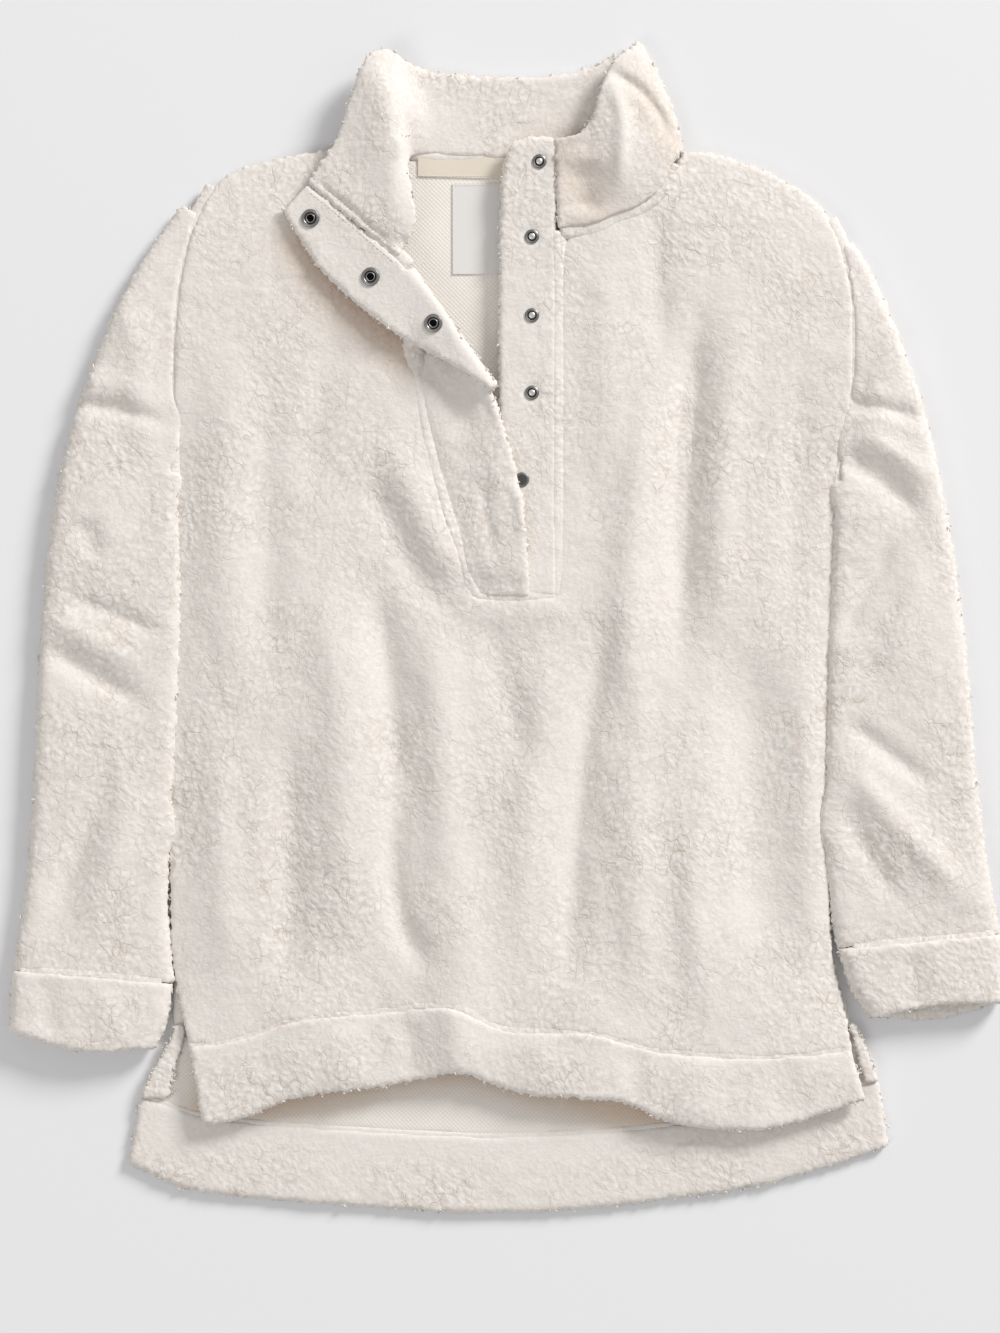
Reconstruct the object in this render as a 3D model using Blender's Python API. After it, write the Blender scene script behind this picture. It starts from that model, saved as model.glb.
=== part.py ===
"""A sherpa fleece pullover laid flat on its back, with its snap placket half open.

Metres, +Z up. The garment lies on z = 0, +Y runs towards the collar, and "left" and "right"
are those of someone looking down at it. The origin is the middle of its box, on the floor.
"""

import math
from collections import namedtuple

import bpy
import numpy as np
from mathutils import Vector
from mathutils.bvhtree import BVHTree

MM = 0.001

# Cloth. A band is two layers of sherpa folded together and pressed.
CLOTH = 4.0 * MM
BAND = 5.5 * MM
TAPE = 0.8 * MM
SEAM_GAP = 0.5 * MM
ARMHOLE_GAP = 1.5 * MM

# Loft: how far the front lies above the back, low on the body and beside the placket.
LOFT_LOW = 8.0 * MM
LOFT_HIGH = 5.5 * MM
LOFT_RUN = 25.0 * MM
SLEEVE_HOLLOW = 6.5 * MM
CUFF_HOLLOW = 6.5 * MM
# A sleeve is nearly flat at the top of its cap and opens by this share of its width, and no
# fold presses its layers nearer than SLEEVE_LEAST_HOLLOW.
CAP_HOLLOW = 1.5 * MM
CAP_OPENING = 0.12
SLEEVE_LEAST_HOLLOW = 4.9 * MM

# Placket. Its slot in the front ends at PLACKET_FOOT.
PLACKET_FOOT = 23.0
UNDER_INNER_EDGE = 37.5
UNDER_FREE_EDGE = -4.0
ROLL_RISE = 8.0 * MM
STUD_ROOM = 2.0 * MM
# Where the closed placket climbs from the front onto the studs, across the garment.
CLIMB_START = -33.0
CLIMB_RUN = 26.0
# The under placket rises by this much along the collar's stand, from its seam up.
STAND_SEAM = 0.29
STAND_RUN = 0.07
STAND_RISE = 2.0 * MM

# Snaps.
STUD_ACROSS = 10.5 * MM
SOCKET_ACROSS = 13.5 * MM

# Outlines, in millimetres, from the collar end down.
SHOULDER_LEFT = [(-218, 334), (-192, 346), (-155, 355), (-128, 358), (-106, 360)]
SHOULDER_RIGHT = [(133, 357), (147, 356.5), (183, 347), (220, 328), (241, 310)]
ARMHOLE_LEFT = [(-218, 334), (-233, 303), (-243, 265), (-248, 218), (-249, 134)]
ARMHOLE_RIGHT = [(241, 310), (252, 282), (259, 245), (260, 200), (256, 156), (249, 126)]
SIDE_LEFT = [(-249, 134), (-246, 21), (-252, -129), (-250, -249), (-244, -279)]
SIDE_RIGHT = [(249, 126), (244, -16), (241, -129), (244, -241), (254, -286)]
VENT_FRONT_LEFT = [(-244, -279), (-240, -300), (-237, -313)]
VENT_FRONT_RIGHT = [(254, -286), (256, -300), (258, -316)]
VENT_BACK_LEFT = [(-244, -279), (-252, -309), (-264, -330), (-274, -352)]
VENT_BACK_RIGHT = [(254, -286), (266, -306), (274, -326), (280, -340)]
HEM_SEAM_FRONT = [(-237, -313), (-200, -309), (-162, -294), (-124, -290), (-80, -286), (-38, -283),
                  (-4, -301), (63, -303), (108, -316), (176, -322), (220, -320), (258, -316)]
HEM_FRONT = [(-226, -372), (-200, -368), (-155, -350), (-94, -343), (-57, -335), (-38, -330),
             (-20, -332), (-4, -346), (40, -350), (93, -354), (116, -369), (176, -376),
             (220, -369), (250, -358), (268, -353)]
HEM_SEAM_BACK = [(-274, -352), (-230, -366), (-184, -372), (-117, -377), (-4, -382),
                 (100, -376), (190, -362), (280, -340)]
HEM_BACK = [(-283, -402), (-260, -415), (-230, -423), (-184, -428), (-117, -433), (-4, -439),
            (100, -431), (190, -418), (236, -406), (286, -389)]
NECK_BACK = [(-106, 360), (-82, 354), (-58, 353), (-38, 351), (7, 350), (48, 351), (85, 353),
             (112, 354), (133, 357)]
NECK_LEFT = [(-106, 360), (-92, 353), (-83, 335), (-82, 300), (-82, 280), (-74, 264)]

# The placket that is turned out: its inner, stitched edge and its free edge, with their heights.
Station = namedtuple("Station", "inner free inner_z free_z")
TURNED_OUT = [
    Station((-148.5, 331), (-166, 312), 17.5, 17.0),
    Station((-128, 315), (-140, 267), 19.5, 19.0),
    Station((-109.5, 298.5), (-106, 238), 21.0, 21.5),
    Station((-93, 285), (-72, 212), 23.0, 24.0),
    Station((-81, 275), (-38, 197), 24.5, 27.0),
    Station((-74, 266), (-12, 178), 25.0, 29.5),
]
# Where it is closed, the same two edges. Its height follows from what it lies on.
Rail = namedtuple("Rail", "inner free")
CLOSED_DOWN = [
    Rail((-70.5, 240), (-3, 152)),
    Rail((-67.5, 201), (3, 130)),
    Rail((-61, 156), (10, 111)),
    Rail((-49.5, 103.5), (13, 81)),
    Rail((-36, 60), (15, 51)),
    Rail((-22, PLACKET_FOOT + 0.8), (17, PLACKET_FOOT + 0.8)),
]

# The collar from its turned-out end, round the back of the neck, to its other end. Each section
# runs from the neck seam over a crest to the top edge, as points of its middle surface.
Section = namedtuple("Section", "seam crest top")
COLLAR = [
    Section((-79.8, 277.5, 25.0), (-113, 303.5, 22.0), (-146.9, 332.5, 18.0)),
    Section((-76, 292, 14.0), (-74, 297, 27.0), (-138, 346, 18.5)),
    Section((-77, 318, 13.0), (-75, 322, 28.0), (-127.5, 361, 19.0)),
    Section((-77, 340, 10.5), (-78, 346, 29.0), (-118.5, 386, 20.0)),
    Section((-75, 352, 7.5), (-82, 370, 29.0), (-112, 407, 21.5)),
    Section((-71, 355.5, 4.5), (-84, 390, 27.0), (-103.5, 426, 21.0)),
    Section((-66, 356, 3.0), (-76, 394, 18.0), (-88, 433, 15.0)),
    Section((-56, 356, 2.8), (-62, 389, 5.5), (-70, 421, 6.0)),
    Section((-38, 354, 2.8), (-42, 386, 2.8), (-46, 415.5, 2.8)),
    Section((7, 353, 2.8), (9, 384, 2.8), (10, 412.5, 2.8)),
    Section((48, 354, 2.8), (51, 386, 2.8), (55.5, 417, 2.8)),
    Section((85, 356, 2.8), (80, 392, 2.8), (75, 427, 2.8)),
    Section((118, 357, 2.8), (106, 395, 2.8), (91, 434, 3.6)),
    Section((131, 359, 8.5), (120, 396, 9.0), (100, 438, 9.5)),
    Section((124, 349, 14.0), (111, 389, 16.0), (89, 430, 16.5)),
    Section((119, 336, 14.5), (100, 374, 20.0), (78, 420, 19.0)),
    Section((108, 323, 14.5), (88, 358, 23.0), (71, 402, 20.5)),
    Section((95, 315, 14.5), (80, 347, 22.0), (68, 386, 21.0)),
    Section((80, 310, 14.5), (70, 339, 20.0), (60, 373, 18.5)),
    Section((62, 302, 14.5), (56, 333, 18.0), (48, 367, 17.0)),
    Section((39, 300, 14.5), (38.5, 333, 16.5), (38, 366, 16.0)),
]
FRONT_SECTIONS = slice(14, 21)

# Sleeves: the outer fold and the inner edge below the underarm.
SLEEVE_LEFT_OUTER = [(-222, 333), (-244, 315), (-263, 291), (-282, 261), (-297, 231), (-312, 193),
                     (-325, 156), (-334, 118), (-342, 74), (-349, -9), (-355, -129), (-360, -200),
                     (-370, -256)]
SLEEVE_LEFT_INNER = [(-251, 122), (-248, 21), (-254, -129), (-258.5, -180), (-258, -240),
                     (-253, -266)]
SLEEVE_RIGHT_OUTER = [(245, 307), (267, 280), (284, 246), (299, 208), (314, 163), (325, 118),
                      (333, 74), (341, 21), (347, -39), (352, -99), (359, -166), (367, -212),
                      (371, -229)]
SLEEVE_RIGHT_INNER = [(251, 114), (246, -16), (243.5, -129), (247, -200), (254, -240)]
CUFF_LEFT = [((-370.5, -256.8), (-253, -266.9)), ((-371.5, -285), (-257, -292)),
             ((-372, -303), (-263, -315))]
CUFF_RIGHT = [((371.5, -229.9), (254.5, -240.8)), ((373, -258), (263, -268)),
              ((373.5, -280), (274, -291))]
CUFF_LEFT_SAG = 7.0
CUFF_RIGHT_SAG = -4.0
CUFF_RIGHT_LIP = 12.0

# Folds: a soft ridge or trough along a curve through three points, its half width and its rise.
Fold = namedtuple("Fold", "start middle end reach rise")
BODY_FOLDS = [
    Fold((-102, 60), (-82, -69), (-76, -260), 17, -3.0),
    Fold((-128, 40), (-112, -80), (-112, -240), 20, 3.5),
    Fold((-162, -90), (-158, -166), (-162, -285), 17, -2.0),
    Fold((149, 256), (136, 111), (130, -50), 17, -3.0),
    Fold((112, 240), (106, 110), (98, -60), 20, 3.0),
    Fold((72, 20), (56, -106), (44, -300), 15, -2.5),
    Fold((168, 20), (198, -129), (205, -290), 34, -3.0),
    Fold((150, -60), (160, -180), (170, -300), 22, 3.0),
    Fold((-92, 150), (-56, 72), (-20, 15), 16, 4.0),
    Fold((-14, 18), (3, -54), (20, -120), 15, -2.5),
    Fold((-38, -170), (-38, -260), (-38, -350), 20, 8.0),
    Fold((60, -250), (62, -310), (64, -380), 36, 4.0),
    Fold((-150, -250), (-146, -300), (-140, -360), 26, 4.0),
]
SLEEVE_LEFT_FOLDS = [
    Fold((-346, -20), (-318, -38), (-270, -60), 18, -3.5),
    Fold((-296, -100), (-325, -160), (-345, -225), 20, -3.0),
    Fold((-322, 14), (-292, 12), (-256, 8), 16, -2.0),
    Fold((-318, 166), (-290, 160), (-256, 154), 18, -2.5),
    Fold((-330, -90), (-310, -120), (-275, -190), 24, 3.5),
    Fold((-300, 120), (-305, 70), (-300, 20), 24, 3.0),
]
SLEEVE_RIGHT_FOLDS = [
    Fold((252, 128), (280, 104), (312, 80), 17, -3.5),
    Fold((292, 66), (268, 26), (248, -14), 18, -2.5),
    Fold((252, -70), (286, -92), (320, -122), 16, -2.5),
    Fold((252, -100), (296, -150), (356, -220), 20, 4.0),
    Fold((258, -150), (262, -180), (256, -200), 16, -2.0),
    Fold((310, 30), (320, -30), (326, -80), 24, 3.0),
]


def metres(points):
    return np.array(points, float) * MM


def curve_through(points, steps):
    """A smooth curve through the points, in metres, with the same steps between each two."""
    knots = metres(points)
    ends = np.vstack([2 * knots[0] - knots[1], knots, 2 * knots[-1] - knots[-2]])
    fine = []
    for a, b, c, d in zip(ends, ends[1:], ends[2:], ends[3:]):
        for t in np.linspace(0, 1, steps, endpoint=False):
            fine.append(0.5 * (2 * b + (c - a) * t + (2 * a - 5 * b + 4 * c - d) * t**2
                               + (3 * b - a - 3 * c + d) * t**3))
    return np.array(fine + [knots[-1]])


def smooth_line(points, count):
    """Points evenly spaced along a smooth curve through the given ones, in metres."""
    return evenly_spaced(curve_through(points, 16), count)


def evenly_spaced(line, count):
    steps = np.linalg.norm(np.diff(line, axis=0), axis=1)
    run = np.concatenate([[0], np.cumsum(steps)])
    wanted = np.linspace(0, run[-1], count)
    return np.column_stack([np.interp(wanted, run, line[:, i]) for i in range(line.shape[1])])


def joined(*lines, count):
    """One evenly spaced line along several that meet end to end."""
    return evenly_spaced(np.vstack([smooth_line(line, 40) for line in lines]), count)


def patch(top, bottom, left, right):
    """A grid of points that fills four edge curves, a Coons patch."""
    v = np.linspace(0, 1, len(left))[:, None, None]
    u = np.linspace(0, 1, len(top))[None, :, None]
    across = (1 - u) * left[:, None] + u * right[:, None]
    down = (1 - v) * top[None] + v * bottom[None]
    corners = ((1 - u) * (1 - v) * top[0] + u * (1 - v) * top[-1]
               + (1 - u) * v * bottom[0] + u * v * bottom[-1])
    return across + down - corners


def distance_to(line, x, y):
    """The distance from each point (x, y) to a line of points."""
    start, run = line[:-1], np.diff(line, axis=0)
    to_x = x[..., None] - start[:, 0]
    to_y = y[..., None] - start[:, 1]
    along = (to_x * run[:, 0] + to_y * run[:, 1]) / (run**2).sum(axis=1)
    along = np.clip(along, 0, 1)
    apart = np.hypot(to_x - along * run[:, 0], to_y - along * run[:, 1])
    nearest = apart.argmin(axis=-1)
    share = (nearest + np.take_along_axis(along, nearest[..., None], -1)[..., 0]) / len(start)
    return apart.min(axis=-1), share


def folded(folds, x, y):
    """How far the folds raise the cloth at each point."""
    rise = np.zeros_like(x)
    for fold in folds:
        line = smooth_line([fold.start, fold.middle, fold.end], 16)
        apart, share = distance_to(line, x, y)
        fade = np.clip(np.minimum(share, 1 - share) * 4, 0, 1)
        rise += fold.rise * MM * np.exp(-(apart / (fold.reach * MM))**2) * fade
    return rise


CLOSED_SEAMS = [smooth_line(line, 30) for line in (SIDE_LEFT, SIDE_RIGHT, SHOULDER_LEFT,
                                                   SHOULDER_RIGHT)]


def front_underside(x, y):
    """The height of the front's inner face: down on the back at its seams, lofted between them."""
    apart = np.min([distance_to(seam, x, y)[0] for seam in CLOSED_SEAMS], axis=0)
    high = 1 / (1 + np.exp(-(y - 50 * MM) / (25 * MM)))
    loft = LOFT_LOW * (1 - high) + LOFT_HIGH * high
    lying = CLOTH + SEAM_GAP
    height = lying + loft * (1 - np.exp(-apart / LOFT_RUN))
    return np.maximum(height + folded(BODY_FOLDS, x, y), lying)


def grid_faces(rows, cols, base=0):
    return [
        (base + r * cols + c, base + (r + 1) * cols + c,
         base + (r + 1) * cols + c + 1, base + r * cols + c + 1)
        for r in range(rows - 1) for c in range(cols - 1)
    ]


def finish(name, points, faces, colour, roughness, metallic=0.0):
    """A named object with its own material. Everything but the cloth's rims is shaded smooth."""
    mesh = bpy.data.meshes.new(name)
    mesh.from_pydata([tuple(p) for p in points], [], faces)
    mesh.shade_smooth()
    mesh.set_sharp_from_angle(angle=math.radians(50))
    thing = bpy.data.objects.new(name, mesh)
    bpy.context.collection.objects.link(thing)
    material = bpy.data.materials.new(name)
    material.use_nodes = True
    shader = material.node_tree.nodes["Principled BSDF"]
    shader.inputs["Base Color"].default_value = (*colour, 1)
    shader.inputs["Roughness"].default_value = roughness
    shader.inputs["Metallic"].default_value = metallic
    mesh.materials.append(material)
    return thing


SHERPA = (0.80, 0.77, 0.71)
KNIT = (0.78, 0.74, 0.67)
METAL = (0.12, 0.12, 0.13)


def walled(name, faces, inner, outer, colour=SHERPA):
    """A wall of cloth between two like sheets of points. The faces turn their front to outer."""
    count = len(inner)
    edges = {(a, b) for face in faces for a, b in zip(face, face[1:] + face[:1])}
    rim = sorted((a, b) for a, b in edges if (b, a) not in edges)
    shell = [tuple(i + count for i in face) for face in faces]
    shell += [tuple(reversed(face)) for face in faces]
    shell += [(a, b, b + count, a + count) for a, b in rim]
    return finish(name, np.vstack([inner, outer]), shell, colour, 0.95)


def flat_piece(name, patches, underside, thickness, colour=SHERPA):
    """Cloth that lies flat: grids of (x, y) points, joined where they meet, between two heights."""
    index, points, faces = {}, [], []
    for grid in patches:
        rows, cols = grid.shape[:2]
        numbers = []
        for x, y in grid.reshape(-1, 2):
            key = (round(x / 1e-6), round(y / 1e-6))
            if key not in index:
                index[key] = len(points)
                points.append((x, y))
            numbers.append(index[key])
        faces += [tuple(numbers[i] for i in face) for face in grid_faces(rows, cols)]
    x, y = np.array(points).T
    low = underside(x, y)
    return walled(name, faces, np.column_stack([x, y, low]),
                  np.column_stack([x, y, low + thickness]), colour)


def thickened(name, points, faces, thickness, colour=SHERPA):
    """Cloth about a middle surface, half its thickness to each side."""
    normals = np.zeros_like(points)
    for face in faces:
        a, b, c, d = (points[i] for i in face)
        normals[list(face)] += np.cross(c - a, d - b)
    normals /= np.linalg.norm(normals, axis=1)[:, None]
    half = normals * thickness / 2
    return walled(name, faces, points - half, points + half, colour)


def height_over(things, x, y):
    """The highest point of these objects under (x, y)."""
    best = 0.0
    for thing in things:
        mesh = thing.data
        tree = BVHTree.FromPolygons([v.co for v in mesh.vertices],
                                    [tuple(p.vertices) for p in mesh.polygons])
        hit = tree.ray_cast(Vector((x, y, 1.0)), Vector((0, 0, -1)))[0]
        if hit is not None:
            best = max(best, hit.z)
    return best


def make_back():
    rows, cols = 14, 14
    neck = NECK_BACK[1:-1]
    top = joined(SHOULDER_LEFT, [SHOULDER_LEFT[-1], *neck, SHOULDER_RIGHT[0]], SHOULDER_RIGHT,
                 count=cols)
    left = joined(ARMHOLE_LEFT, SIDE_LEFT, VENT_BACK_LEFT, count=rows)
    right = joined(ARMHOLE_RIGHT, SIDE_RIGHT, VENT_BACK_RIGHT, count=rows)
    bottom = smooth_line(HEM_SEAM_BACK, cols)
    flat_piece("back", [patch(top, bottom, left, right)], lambda x, y: 0 * x, CLOTH, KNIT)
    seam = bottom - [0, SEAM_GAP]
    edge = smooth_line(HEM_BACK, cols)
    ends = [np.linspace(seam[i], edge[i], 3) for i in (0, -1)]
    flat_piece("hem_back", [patch(seam, edge, *ends)], lambda x, y: 0 * x, BAND)


def make_vent_folds():
    """The sherpa side of the back's edge, turned in along each open side vent."""
    for name, line, widest, side in (("vent_fold_left", VENT_BACK_LEFT, 18, 1),
                                     ("vent_fold_right", VENT_BACK_RIGHT, 9, -1)):
        outer = smooth_line(line, 9)[2:]
        outer[:, 0] += side * 1.0 * MM
        width = np.linspace(0.35, 1, len(outer)) * widest * MM
        strip = np.stack([outer + [side * w, 0] * width[:, None] for w in (0, 0.5, 1)], axis=1)
        if side < 0:
            strip = strip[:, ::-1]
        flat_piece(name, [strip], lambda x, y: 0 * x + CLOTH + 0.3 * MM, 3.2 * MM)


def neckline_right():
    """The front's edge below the collar's right half, just outside the collar's neck seam."""
    seam = [section.seam[:2] for section in COLLAR[FRONT_SECTIONS]]
    return [SHOULDER_RIGHT[0], *[(x + 1.2, y - 2.1) for x, y in seam]]


def make_front():
    rows, half = 16, 11
    foot_left = (-23, PLACKET_FOOT)
    foot_right = (UNDER_INNER_EDGE + 0.8, PLACKET_FOOT)
    seam = [(x - 0.9, y) for x, y in (s.inner for s in CLOSED_DOWN[:-1])]
    left_edge = joined(NECK_LEFT, [NECK_LEFT[-1], *seam, foot_left], count=rows)
    right_edge = joined(neckline_right(), [neckline_right()[-1], foot_right], count=rows)
    side_left = joined(ARMHOLE_LEFT, SIDE_LEFT[:2], count=rows)
    side_right = joined(ARMHOLE_RIGHT, SIDE_RIGHT[:2], count=rows)
    row_left = smooth_line([SIDE_LEFT[1], (-140, 18), foot_left], half)
    row_right = smooth_line([foot_right, (150, 10), SIDE_RIGHT[1]], half)
    slot = np.linspace(row_left[-1], row_right[0], 4)[1:-1]
    upper_left = patch(smooth_line(SHOULDER_LEFT, half), row_left, side_left, left_edge)
    upper_right = patch(smooth_line(SHOULDER_RIGHT, half), row_right, right_edge, side_right)
    waist = np.vstack([row_left, slot, row_right])
    low_left = joined(SIDE_LEFT[1:], VENT_FRONT_LEFT, count=rows)
    low_right = joined(SIDE_RIGHT[1:], VENT_FRONT_RIGHT, count=rows)
    hem = smooth_line(HEM_SEAM_FRONT, len(waist))
    lower = patch(waist, hem, low_left, low_right)
    front = flat_piece("front", [upper_left, upper_right, lower], front_underside, CLOTH)
    seam = hem - [0, SEAM_GAP]
    edge = smooth_line(HEM_FRONT, len(waist))
    ends = [np.linspace(seam[i], edge[i], 4) for i in (0, -1)]
    flat_piece("hem_front", [patch(seam, edge, *ends)],
               lambda x, y: np.maximum(front_underside(x, y), BAND + 4.4 * MM), BAND)
    return front


def make_collar():
    rows = []
    fine = [curve_through([getattr(s, part) for s in COLLAR], 2) for part in Section._fields]
    for seam, crest, top in zip(*fine):
        rows.append(smooth_line(np.array([seam, crest, top]) / MM, 7))
    grid = np.array(rows)
    grid[..., 2] = np.maximum(grid[..., 2], BAND / 2)
    # Sections run left to right over the back of the neck, and each runs away from the body.
    grid = grid.transpose(1, 0, 2)[::-1]
    thickened("collar", grid.reshape(-1, 3), grid_faces(*grid.shape[:2]), BAND)


def under_height(x, y):
    """The underside of the right-hand placket, level with the front that it is sewn to."""
    level = front_underside(np.full_like(x, UNDER_INNER_EDGE * MM + 5 * MM), np.minimum(y, STAND_SEAM))
    return level + np.clip((y - STAND_SEAM) / STAND_RUN, 0, 1) * STAND_RISE


def make_placket_under():
    """The placket that carries the studs, from the top of the collar down to the slot's foot."""
    foot = PLACKET_FOOT + 0.8
    left = smooth_line([(2, 361), (-3, 330), (UNDER_FREE_EDGE, 260), (UNDER_FREE_EDGE, 150),
                        (0, foot)], 16)
    edge = UNDER_INNER_EDGE - 0.6
    right = smooth_line([(edge, 365), (edge, 300), (edge, 150), (edge, foot)], 16)
    top = smooth_line([(2, 361), (18, 367), (edge, 365)], 5)
    bottom = np.linspace(left[-1], right[-1], 5)
    return flat_piece("placket_under", [patch(top, bottom, left, right)], under_height, BAND)


def make_placket_over():
    """The placket that carries the sockets: turned out above, closed over the studs below."""
    across = 5
    rows = []
    for station in TURNED_OUT:
        inner = np.array([*station.inner, station.inner_z]) * MM
        free = np.array([*station.free, station.free_z]) * MM
        rows.append(np.linspace(inner, free, across))
    roll = rows[-1]
    run = roll[-1] - roll[0]
    out = np.array([-run[1], run[0], 0]) / np.hypot(run[0], run[1])
    for angle in np.radians([60, 30, 0, -30, -60]):
        turn = out * math.cos(angle) + np.array([0, 0, math.sin(angle) - 1])
        rows.append(roll + turn * ROLL_RISE / 2)
    rows.append(roll - [0, 0, ROLL_RISE])
    for station in CLOSED_DOWN:
        line = np.linspace(metres(station.inner), metres(station.free), across)
        x, y = line.T
        lying = front_underside(x, y) + BAND / 2
        over = under_height(x, y) + BAND * 1.5 + STUD_ROOM
        share = np.clip((x / MM - CLIMB_START) / CLIMB_RUN, 0, 1)
        share = share * share * (3 - 2 * share)
        z = lying * (1 - share) + over * share
        rows.append(np.column_stack([x, y, z]))
    points = np.array(rows)
    faces = grid_faces(*points.shape[:2])
    faces = [tuple(reversed(face)) for face in faces]
    return thickened("placket_over", points.reshape(-1, 3), faces, BAND)


def sleeve_rows(armhole, inner_edge, outer_edge, folds, count=17):
    """The middle surface of a sleeve as rows of points round it, and how many rows are open."""
    inner = joined(armhole, [armhole[-1], *inner_edge], count=8 * count)
    outer = smooth_line(outer_edge, 8 * count)
    underarm = armhole[-1][1] * MM
    first, last = 6, 8 * count - 1
    # The rows are closer together at the cap, where the armhole curves most.
    places = (first + (last - first) * np.linspace(0, 1, count) ** 1.3).astype(int)
    rows, open_rows = [], 0
    for place in places:
        a, b = inner[place], outer[place]
        is_open = a[1] > underarm
        open_rows += is_open
        rows.append(sleeve_ring(a, b, folds, is_open))
    return rows, open_rows


def sleeve_ring(a, b, folds, is_open):
    """Points round one section: the upper layer out, the outer fold, and the lower layer back."""
    run = (b - a) / np.linalg.norm(b - a)
    low = CLOTH / 2
    edge_in = a + run * (ARMHOLE_GAP if is_open else CLOTH / 2)
    edge_out = b - run * CLOTH / 2
    full = CLOTH * 1.5 + SLEEVE_HOLLOW
    seam = float(front_underside(a[:1], a[1:])[0]) + CLOTH / 2
    start = seam if is_open else full
    width = np.linalg.norm(b - a)
    tall = min(full, CLOTH * 1.5 + CAP_HOLLOW + CAP_OPENING * width)
    turn_out = min((tall - low) / 2, width * 0.35)
    turn_in = 0 if is_open else (full - low) / 2
    ring = []
    for share in np.linspace(0, 1, 8):
        xy = edge_in + run * turn_in + (edge_out - edge_in - run * (turn_out + turn_in)) * share
        ease = min(1, share * 3)
        z = start + (tall - start) * ease * ease * (3 - 2 * ease)
        bump = folded(folds, xy[:1], xy[1:])[0] * math.sin(math.pi * (0.1 + 0.8 * share))
        ring.append((*xy, max(z + bump, min(z, CLOTH * 1.5 + SLEEVE_LEAST_HOLLOW))))
    top = ring[-1][2]
    for angle in np.radians([50, 0, -50]):
        xy = edge_out - run * turn_out * (1 - math.cos(angle))
        ring.append((*xy, (top + low) / 2 + (top - low) / 2 * math.sin(angle)))
    for share in np.linspace(1, 0, 5):
        xy = edge_in + run * turn_in + (edge_out - edge_in - run * (turn_out + turn_in)) * share
        ring.append((*xy, low))
    if not is_open:
        high = ring[0][2]
        for angle in np.radians([-50, 0, 50]):
            xy = edge_in + run * turn_in * (1 - math.cos(angle))
            ring.append((*xy, (high + low) / 2 + (high - low) / 2 * math.sin(angle)))
    return np.array(ring)


def ringed(name, rows, open_rows, thickness, right_hand, colour=SHERPA):
    """A tube of cloth through rings of points. Its first rows may be open along one side."""
    starts = np.cumsum([0] + [len(row) for row in rows])
    faces = []
    for r in range(len(rows) - 1):
        closed = r >= open_rows
        cols = len(rows[r]) if closed else min(len(rows[r]), len(rows[r + 1])) - 1
        for c in range(cols):
            following = (c + 1) % len(rows[r]) if closed else c + 1
            face = (starts[r] + c, starts[r + 1] + c, starts[r + 1] + following,
                    starts[r] + following)
            faces.append(tuple(int(i) for i in (face if right_hand else reversed(face))))
    return thickened(name, np.vstack(rows), faces, thickness, colour)


def cuff_rows(edges, sag, lip):
    """Rings of a folded cuff from the sleeve's end to its mouth."""
    low = BAND / 2
    high = BAND * 1.5 + CUFF_HOLLOW
    turn = (high - low) / 2
    rows = []
    stations = [curve_through([e[i] for e in edges], 2) for i in (1, 0)]
    for i, (a, b) in enumerate(zip(*stations)):
        down = i / (len(stations[0]) - 1)
        run = (b - a) / np.linalg.norm(b - a)
        start, end = a + run * (BAND / 2 + turn), b - run * (BAND / 2 + turn)
        ring = []
        for share in np.linspace(0, 1, 7):
            xy = start + (end - start) * share
            arch = math.sin(math.pi * share)
            ring.append((xy[0], xy[1] - sag * MM * arch * down, high + 1.0 * MM * arch))
        for angle in np.radians([60, 30, 0, -30, -60]):
            xy = end + run * turn * math.cos(angle)
            ring.append((*xy, (high + low) / 2 + turn * math.sin(angle)))
        for share in np.linspace(1, 0, 7):
            xy = start + (end - start) * share
            arch = math.sin(math.pi * share)
            ring.append((xy[0], xy[1] - (sag + lip) * MM * arch * down, low))
        for angle in np.radians([-60, -30, 0, 30, 60]):
            xy = start - run * turn * math.cos(angle)
            ring.append((*xy, (high + low) / 2 + turn * math.sin(angle)))
        rows.append(np.array(ring))
    return rows


def make_sleeves():
    rows, open_rows = sleeve_rows(ARMHOLE_LEFT, SLEEVE_LEFT_INNER, SLEEVE_LEFT_OUTER,
                                  SLEEVE_LEFT_FOLDS)
    ringed("sleeve_left", rows, open_rows, CLOTH, False)
    rows, open_rows = sleeve_rows(ARMHOLE_RIGHT, SLEEVE_RIGHT_INNER, SLEEVE_RIGHT_OUTER,
                                  SLEEVE_RIGHT_FOLDS)
    ringed("sleeve_right", rows, open_rows, CLOTH, True)
    ringed("cuff_left", cuff_rows(CUFF_LEFT, CUFF_LEFT_SAG, 0), 0, BAND, False)
    ringed("cuff_right", cuff_rows(CUFF_RIGHT, CUFF_RIGHT_SAG, CUFF_RIGHT_LIP), 0, BAND, True)


def make_neck_trims():
    """The flat tape over the back neck seam, and the blank woven label under it."""
    line = smooth_line([(-66, 350.5), (-38, 349.5), (7, 348.5), (48, 349.5), (85, 351.5)], 12)
    tape = np.stack([line, line - [0, 11 * MM]], axis=0)
    lying = CLOTH + 0.3 * MM
    flat_piece("neck_tape", [tape], lambda x, y: 0 * x + lying, TAPE, (0.74, 0.68, 0.58))
    left, right = (np.linspace((x, 334), (x, 266), 4) * MM for x in (-40, 12))
    label = patch(np.linspace(left[0], right[0], 4), np.linspace(left[-1], right[-1], 4),
                  left, right)
    flat_piece("label", [label], lambda x, y: 0 * x + lying, TAPE, (0.86, 0.86, 0.86))


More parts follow.
